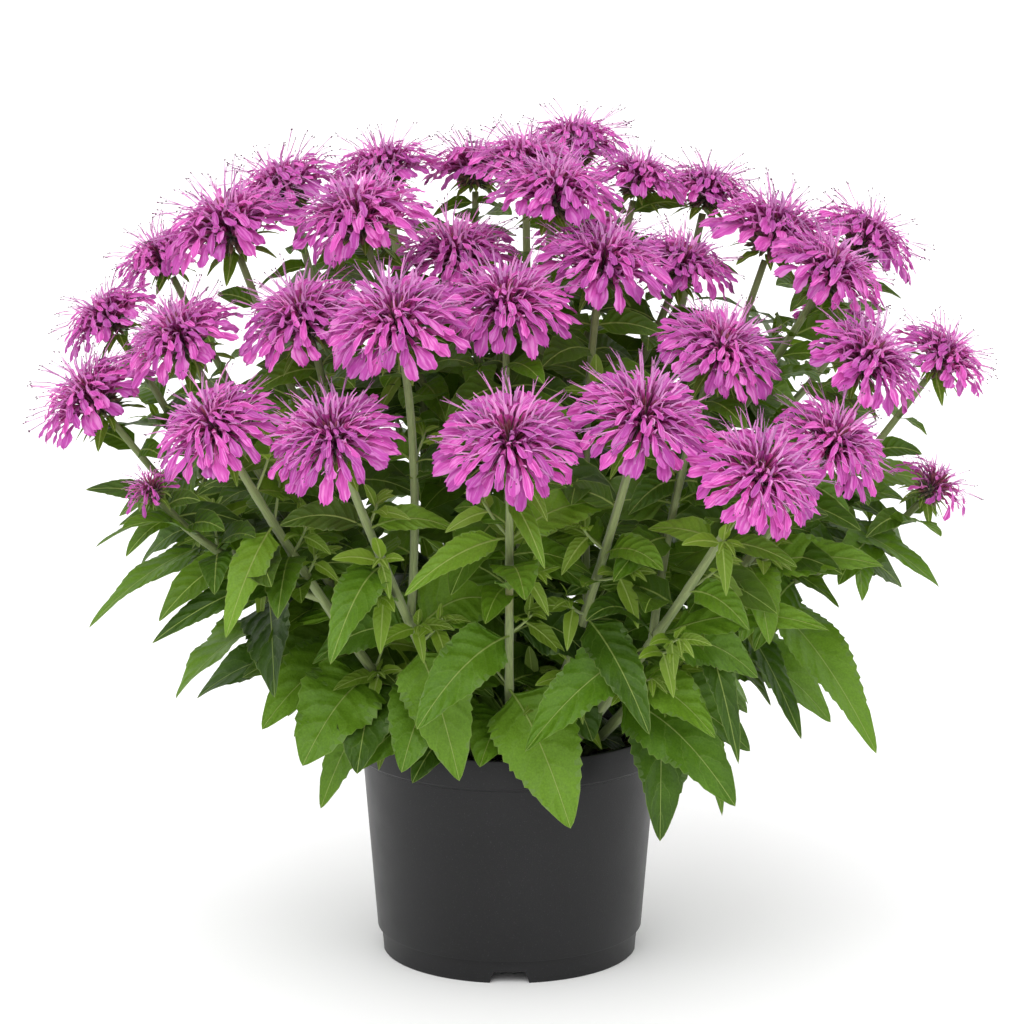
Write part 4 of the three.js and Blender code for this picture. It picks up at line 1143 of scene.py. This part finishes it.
def anther_material():
    """Small dusky anthers."""
    material, nodes = shader("bee_balm_anther")
    colour = nodes.ramp(nodes.noise(1500, 2), (0.3, (0.07, 0.02, 0.06)), (0.7, (0.22, 0.12, 0.17)))
    nodes.set(Base_Color=colour, Roughness=0.8)
    nodes.bump(nodes.noise(4000, 2), 0.3, 0.0002)
    return material


def petal_material():
    """Magenta pink, maroon down the tubes, paler on the narrow upper lips, finely streaked: the pale
    and dark streaks are partly the petals' own streaking and partly painted highlight and painted
    shade, and the paler edges are a painted highlight.
    """
    material, nodes = shader("bee_balm_petal")
    shade, kind, _ = nodes.traits()
    across, along = nodes.places()
    place = nodes.add("CombineXYZ", {
        0: nodes.times(across, 2.4),
        1: nodes.times(along, 3.0),
        2: nodes.times(shade, 90.0),
    })
    streaks = nodes.noise(1.0, 3, place.outputs[0])
    depth = nodes.ramp(
        along,
        (0.0, (0.10, 0.004, 0.02)),
        (0.25, (0.27, 0.015, 0.1)),
        (0.48, (0.50, 0.06, 0.33)),
        (0.66, (0.66, 0.10, 0.50)),
        (1.0, (0.62, 0.085, 0.47)),
    )
    pale = nodes.smooth_step(kind, 0.6, 1.0)
    colour = nodes.blend(nodes.times(pale, 0.8), depth, (0.9, 0.46, 0.82))
    # Pale and dark streaks: partly the petals' own streaking, partly painted highlight on the
    # crinkles and painted shade in the gaps between petals.
    light = nodes.smooth_step(streaks, 0.48, 0.64)
    colour = nodes.blend(nodes.times(light, 0.6), colour, (0.86, 0.34, 0.74))
    dark = nodes.smooth_step(streaks, 0.46, 0.3)
    colour = nodes.blend(nodes.times(dark, 0.65), colour, (0.33, 0.02, 0.2))
    # Paler edges: a painted highlight where the petal edges catch the light.
    edge = nodes.smooth_step(nodes.math("ABSOLUTE", across), 0.7, 1.0)
    colour = nodes.blend(nodes.times(edge, 0.35), colour, (0.86, 0.36, 0.76))
    varied = nodes.add("HueSaturation", {
        "Hue": nodes.plus(nodes.times(shade, 0.024), 0.488),
        "Value": nodes.plus(nodes.times(shade, 0.5), 0.74),
        "Color": colour,
    })
    nodes.set(Base_Color=varied, Roughness=0.55, Specular_IOR_Level=0.25)
    nodes.bump(streaks, 0.7, 0.0008)
    nodes.see_through(0.32, varied)
    return material


def plastic_material():
    """Satin black moulded plastic with a faint speckle and scuffs."""
    material, nodes = shader("pot_plastic")
    speckle = nodes.smooth_step(nodes.noise(1600, 2), 0.62, 0.72)
    haze = nodes.noise(14, 4)
    colour = nodes.ramp(haze, (0.3, (0.008, 0.008, 0.0086)), (0.7, (0.012, 0.012, 0.013)))
    tinted = nodes.blend(nodes.times(speckle, 0.3), colour, (0.06, 0.06, 0.064))
    roughness = nodes.plus(nodes.times(nodes.noise(55, 4), 0.16), 0.34)
    nodes.set(Base_Color=tinted, Roughness=roughness, Specular_IOR_Level=0.28)
    nodes.bump(nodes.noise(1400, 3), 0.16, 0.0003)
    return material


def mix_material():
    """Damp dark peat and bark, with a few brown and pale crumbs."""
    material, nodes = shader("potting_mix")
    shade, kind, _ = nodes.traits()
    colour = nodes.ramp(
        nodes.noise(320, 5),
        (0.3, (0.008, 0.006, 0.005)),
        (0.6, (0.022, 0.015, 0.01)),
        (0.8, (0.05, 0.033, 0.02)),
    )
    crumb = nodes.ramp(
        shade,
        (0.0, (0.012, 0.008, 0.006)),
        (0.7, (0.05, 0.028, 0.015)),
        (0.9, (0.12, 0.07, 0.035)),
        (0.97, (0.3, 0.24, 0.17)),
    )
    tinted = nodes.blend(kind, colour, crumb)
    nodes.set(Base_Color=tinted, Roughness=0.92)
    nodes.bump(nodes.noise(900, 5), 0.8, 0.0012)
    return material


def inner_radius(height):
    """Radius of the pot's inner wall at a height."""
    low = FOOT_HEIGHT + FLOOR_THICKNESS
    high = POT_HEIGHT - LEDGE_DEPTH
    share = (height - low) / (high - low)
    return WALL_AT_FOOT - WALL + share * (WALL_AT_BAND - WALL_AT_FOOT)


def turned_grid(radii, heights, sides):
    """Points turned about the upright axis, with a row for each radius and height."""
    angles = np.arange(sides) * TAU / sides
    return np.stack([
        radii[:, None] * np.cos(angles),
        radii[:, None] * np.sin(angles),
        np.broadcast_to(heights[:, None], (len(radii), sides)),
    ], axis=2)


def add_turned(surface, grid):
    """Adds a form turned about the upright axis."""
    rows, sides = grid.shape[:2]
    across, along = np.linspace(-1, 1, sides), np.linspace(0, 1, rows)
    surface.add_grid(grid, across, along, (0, 0, 0), wrap=True)


def prism(low, high):
    """A closed block between two outlines with equally many corners, to cut with."""
    count = len(low)
    points = [[value * MM for value in corner] for corner in [*low, *high]]
    faces = [tuple(reversed(range(count))), tuple(range(count, 2 * count))]
    for k in range(count):
        after = (k + 1) % count
        faces.append((k, after, count + after, count + k))
    mesh = bpy.data.meshes.new("cutter")
    mesh.from_pydata(points, [], faces)
    return bpy.data.objects.new("cutter", mesh)


def build_pot(material):
    """The pot: a turned wall with softened edges, foot slots and drain holes."""
    lip = RIM_RADIUS - LIP_WIDTH
    ledge = POT_HEIGHT - LEDGE_DEPTH
    inside_foot = FOOT_RADIUS - FOOT_WIDTH
    soft = 0.5
    profile = [
        (0.01, UNDER_FLOOR), (inside_foot, UNDER_FLOOR), (inside_foot, soft),
        (inside_foot + soft, 0), (FOOT_RADIUS - soft, 0), (FOOT_RADIUS, soft),
        (FOOT_RADIUS + 0.7, FOOT_HEIGHT - 0.4), (FOOT_RADIUS + 0.9, FOOT_HEIGHT),
        (WALL_AT_FOOT - 0.4, FOOT_HEIGHT + 0.5), (WALL_AT_FOOT, FOOT_HEIGHT + 1.2),
        (WALL_AT_BAND - 0.1, BAND_BOTTOM - 1.4), (WALL_AT_BAND + 0.6, BAND_BOTTOM - 0.9),
        (WALL_AT_BAND + 0.7, BAND_BOTTOM + 0.1), (RIM_RADIUS - 0.9, BAND_BOTTOM + 0.3),
        (RIM_RADIUS - 0.3, BAND_BOTTOM + 1.1), (RIM_RADIUS, POT_HEIGHT - 1.2),
        (RIM_RADIUS - 0.3, POT_HEIGHT - 0.3), (RIM_RADIUS - 0.9, POT_HEIGHT),
        (lip + 0.7, POT_HEIGHT), (lip + 0.2, POT_HEIGHT - 0.3), (lip, POT_HEIGHT - 0.9),
        (lip, ledge + 0.4), (lip - 0.4, ledge), (inner_radius(ledge), ledge),
        (inner_radius(ledge) - 0.2, ledge - 0.6), (inner_radius(FLOOR_TOP), FLOOR_TOP),
        (0.01, FLOOR_TOP),
    ]
    surface = Surface()
    radii, heights = np.array(profile).T
    add_turned(surface, turned_grid(radii, heights, POT_SIDES))
    pot = surface.build("moulded_pot", [material])
    for i in range(NOTCHES):
        cut(pot, notch_cutter(i))
    for i in range(DRAINS):
        cut(pot, drain_cutter(i))
    smooth_by_angle(pot)
    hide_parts("pot")


def notch_cutter(index):
    """The cutter of one slot in the foot, wider at the floor than above."""
    turn = index * TAU / NOTCHES
    near, far = FOOT_RADIUS - NOTCH_REACH, FOOT_RADIUS + NOTCH_REACH
    outlines = []
    for half, height in [(NOTCH_BELOW / 2, -1), (NOTCH_ABOVE / 2, NOTCH_HEIGHT)]:
        corners = [(-half, -far), (half, -far), (half, -near), (-half, -near)]
        outlines.append([(*turned(x, y, turn), height) for x, y in corners])
    return prism(*outlines)


def turned(x, y, turn):
    """A place turned about the upright axis."""
    cos, sin = math.cos(turn), math.sin(turn)
    return x * cos - y * sin, x * sin + y * cos


def drain_cutter(index):
    """The cutter of one drain hole."""
    angle = (index + 0.5) * TAU / DRAINS
    middle = DRAIN_RING * np.array([math.cos(angle), math.sin(angle)])
    ring = middle + DRAIN_RADIUS * ring_section(DRAIN_SIDES)
    return prism(*[[(x, y, z) for x, y in ring] for z in (UNDER_FLOOR - 2, FLOOR_TOP + 2)])


def cut(piece, cutter):
    """Cuts one object away from another, and removes the cutter."""
    link(cutter)
    modifier = piece.modifiers.new("cut", "BOOLEAN")
    modifier.operation = "DIFFERENCE"
    modifier.solver = "EXACT"
    modifier.object = cutter
    apply_modifiers(piece)
    bpy.data.objects.remove(cutter)


def apply_modifiers(piece):
    """Replaces a piece's mesh by the one its modifiers make."""
    bpy.context.view_layer.update()
    graph = bpy.context.evaluated_depsgraph_get()
    mesh = bpy.data.meshes.new_from_object(piece.evaluated_get(graph))
    piece.modifiers.clear()
    piece.data = mesh


def smooth_by_angle(piece):
    """Shades a turned piece smooth except at its edges."""
    piece.data.shade_smooth()
    piece.data.set_sharp_from_angle(angle=math.radians(30))


def value_noise(points, scale, seed):
    """Smooth noise between -1 and 1 over flat points."""
    size = 64
    table = np.random.default_rng(seed).uniform(-1, 1, (size, size))
    place = points / scale
    cell = np.floor(place).astype(int)
    part = place - cell
    part = part * part * (3 - 2 * part)

    def corner(dx, dy):
        return table[(cell[:, 0] + dx) % size, (cell[:, 1] + dy) % size]

    low = corner(0, 0) * (1 - part[:, 0]) + corner(1, 0) * part[:, 0]
    high = corner(0, 1) * (1 - part[:, 0]) + corner(1, 1) * part[:, 0]
    return low * (1 - part[:, 1]) + high * part[:, 1]


def build_soil(material):
    """The potting mix: a crumbled top with loose crumbs, on a plain plug that fills the pot."""
    bottom = FLOOR_TOP + SOIL_GAP
    outer = inner_radius(SOIL_TOP) - SOIL_GAP
    low = inner_radius(bottom) - SOIL_GAP
    radii = np.concatenate([[0.01, low, outer], np.linspace(outer, 0.5, MIX_RINGS)])
    heights = np.concatenate([[bottom, bottom, SOIL_TOP - 1.5], np.full(MIX_RINGS, SOIL_TOP)])
    grid = turned_grid(radii, heights, MIX_SIDES)
    flat = grid[3:, :, :2].reshape(-1, 2) + 400
    bumps = sum(value_noise(flat, scale, seed) * height for scale, height, seed in MIX_BUMPS)
    grid[3:, :, 2] += bumps.reshape(MIX_RINGS, MIX_SIDES) - 0.5
    surface = Surface()
    add_turned(surface, grid)
    add_crumbs(surface, outer)
    soil = surface.build("crumbly_mix", [material])
    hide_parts("soil")


def add_crumbs(surface, outer):
    """Loose crumbs of peat, bark and a few pale grains: boxes with their corners pushed in."""
    rng = np.random.default_rng(12)
    faces = [(0, 1, 2, 3), (7, 6, 5, 4), (0, 4, 5, 1), (1, 5, 6, 2), (2, 6, 7, 3), (3, 7, 4, 0)]
    outline = [(-1, -1), (-1, 1), (1, 1), (1, -1)]
    corners = np.array([(x, y, z) for z in (-1, 1) for x, y in outline])
    for _ in range(CRUMBS):
        radius = (outer - 3) * math.sqrt(rng.random())
        angle = TAU * rng.random()
        size = rng.uniform(0.4, 1.5) * np.array([rng.uniform(0.8, 2.0), 1, rng.uniform(0.4, 0.9)])
        turn = np.linalg.qr(rng.normal(size=(3, 3)))[0]
        if np.linalg.det(turn) < 0:
            turn[0] *= -1
        points = (corners * rng.uniform(0.6, 1, (8, 3)) * size) @ turn
        points += np.array([radius * math.cos(angle), radius * math.sin(angle), SOIL_TOP + 0.4])
        surface.add(points, np.zeros((8, 2)), (rng.random(), 1, 0), faces)


def build_plant(foliage, petals):
    """Every stem with its leaves and burrs, and every bloom."""
    for index in range(len(STEMS)):
        stalks = plan_stem(index)
        surface = Surface()
        seed = GROWN_LEAF_SEED * (index + 1)
        for stalk in stalks:
            add_stalk(surface, stalk)
            for k, leaf in enumerate(stalk.leaves):
                add_leaf(surface, leaf, seed + k, 0.5 * ease(0.6, 1.0, leaf["at"]))
            seed += STALK_SEEDS
            add_burr(surface, stalk.head)
            add_bracts(surface, stalk.head)
            add_fill(surface, stalk, FILL_SEED * stalk.head.number)
            for k, at in enumerate(sorted({leaf["at"] for leaf in stalk.leaves})):
                add_shoot(surface, stalk, at, seed + k)
        name = f"stem_{index + 1:02d}"
        piece = surface.build("leafy_" + name, foliage)
        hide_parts(name)
        for stalk in stalks:
            build_bloom(stalk.head, petals)


def build_bloom(head, petals):
    """One bloom, in place of its solid."""
    surface = Surface()
    add_bloom(surface, head)
    name = f"bloom_{head.number:02d}"
    piece = surface.build("whorled_" + name, petals)
    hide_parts(name)


def stage_floor():
    """A wide pale floor."""
    material, nodes = shader("studio_floor")
    colour = nodes.ramp(nodes.noise(3, 2), (0.3, (0.935, 0.935, 0.935)), (0.7, (0.94, 0.94, 0.94)))
    nodes.set(Base_Color=colour, Roughness=0.9, Specular_IOR_Level=0.1)
    mesh = bpy.data.meshes.new("studio_floor")
    signs = [(-1, -1), (1, -1), (1, 1), (-1, 1)]
    mesh.from_pydata([(x * FLOOR_REACH, y * FLOOR_REACH, 0) for x, y in signs], [], [(0, 1, 2, 3)])
    mesh.materials.append(material)
    floor = bpy.data.objects.new("studio_floor", mesh)
    link(floor)


def light_studio():
    """An even white surround, and one very wide soft light high on the front left."""
    world = bpy.data.worlds.new("studio")
    world.use_nodes = True
    background = world.node_tree.nodes["Background"]
    background.inputs["Color"].default_value = (1, 1, 1, 1)
    background.inputs["Strength"].default_value = SURROUND_STRENGTH
    bpy.context.scene.world = world
    data = bpy.data.lights.new("key", "SUN")
    data.angle = math.radians(KEY_ANGLE)
    data.energy = KEY_STRENGTH
    light = bpy.data.objects.new("key", data)
    light.rotation_euler = Vector((0.25, 0.95, -1.2)).to_track_quat("-Z", "Y").to_euler()
    link(light)


def place_camera():
    """The photograph's viewpoint: a long lens a little above the plant, tilted down."""
    data = bpy.data.cameras.new("camera")
    data.sensor_width = 36
    data.lens = LENS_PIXELS / PICTURE_WIDTH * data.sensor_width
    data.shift_x = SHIFT_PIXELS / PICTURE_WIDTH
    camera = bpy.data.objects.new("camera", data)
    camera.location = CAMERA_PLACE
    camera.rotation_euler = (math.pi / 2 - CAMERA_TILT, 0, 0)
    link(camera)
    bpy.context.scene.camera = camera


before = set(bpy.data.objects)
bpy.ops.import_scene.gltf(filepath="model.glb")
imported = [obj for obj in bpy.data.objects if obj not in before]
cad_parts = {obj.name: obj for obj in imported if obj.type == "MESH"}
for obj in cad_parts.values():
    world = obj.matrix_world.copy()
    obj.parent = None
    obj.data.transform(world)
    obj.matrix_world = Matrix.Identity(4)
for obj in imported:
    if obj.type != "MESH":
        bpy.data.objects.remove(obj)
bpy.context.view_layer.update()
place_camera()
light_studio()
stage_floor()
bpy.context.scene.view_settings.view_transform = "Standard"
build_pot(plastic_material())
build_soil(mix_material())
foliage = [leaf_material(), stalk_material(), calyx_material()]
petals = [petal_material(), anther_material(), heart_material()]
build_plant(foliage, petals)
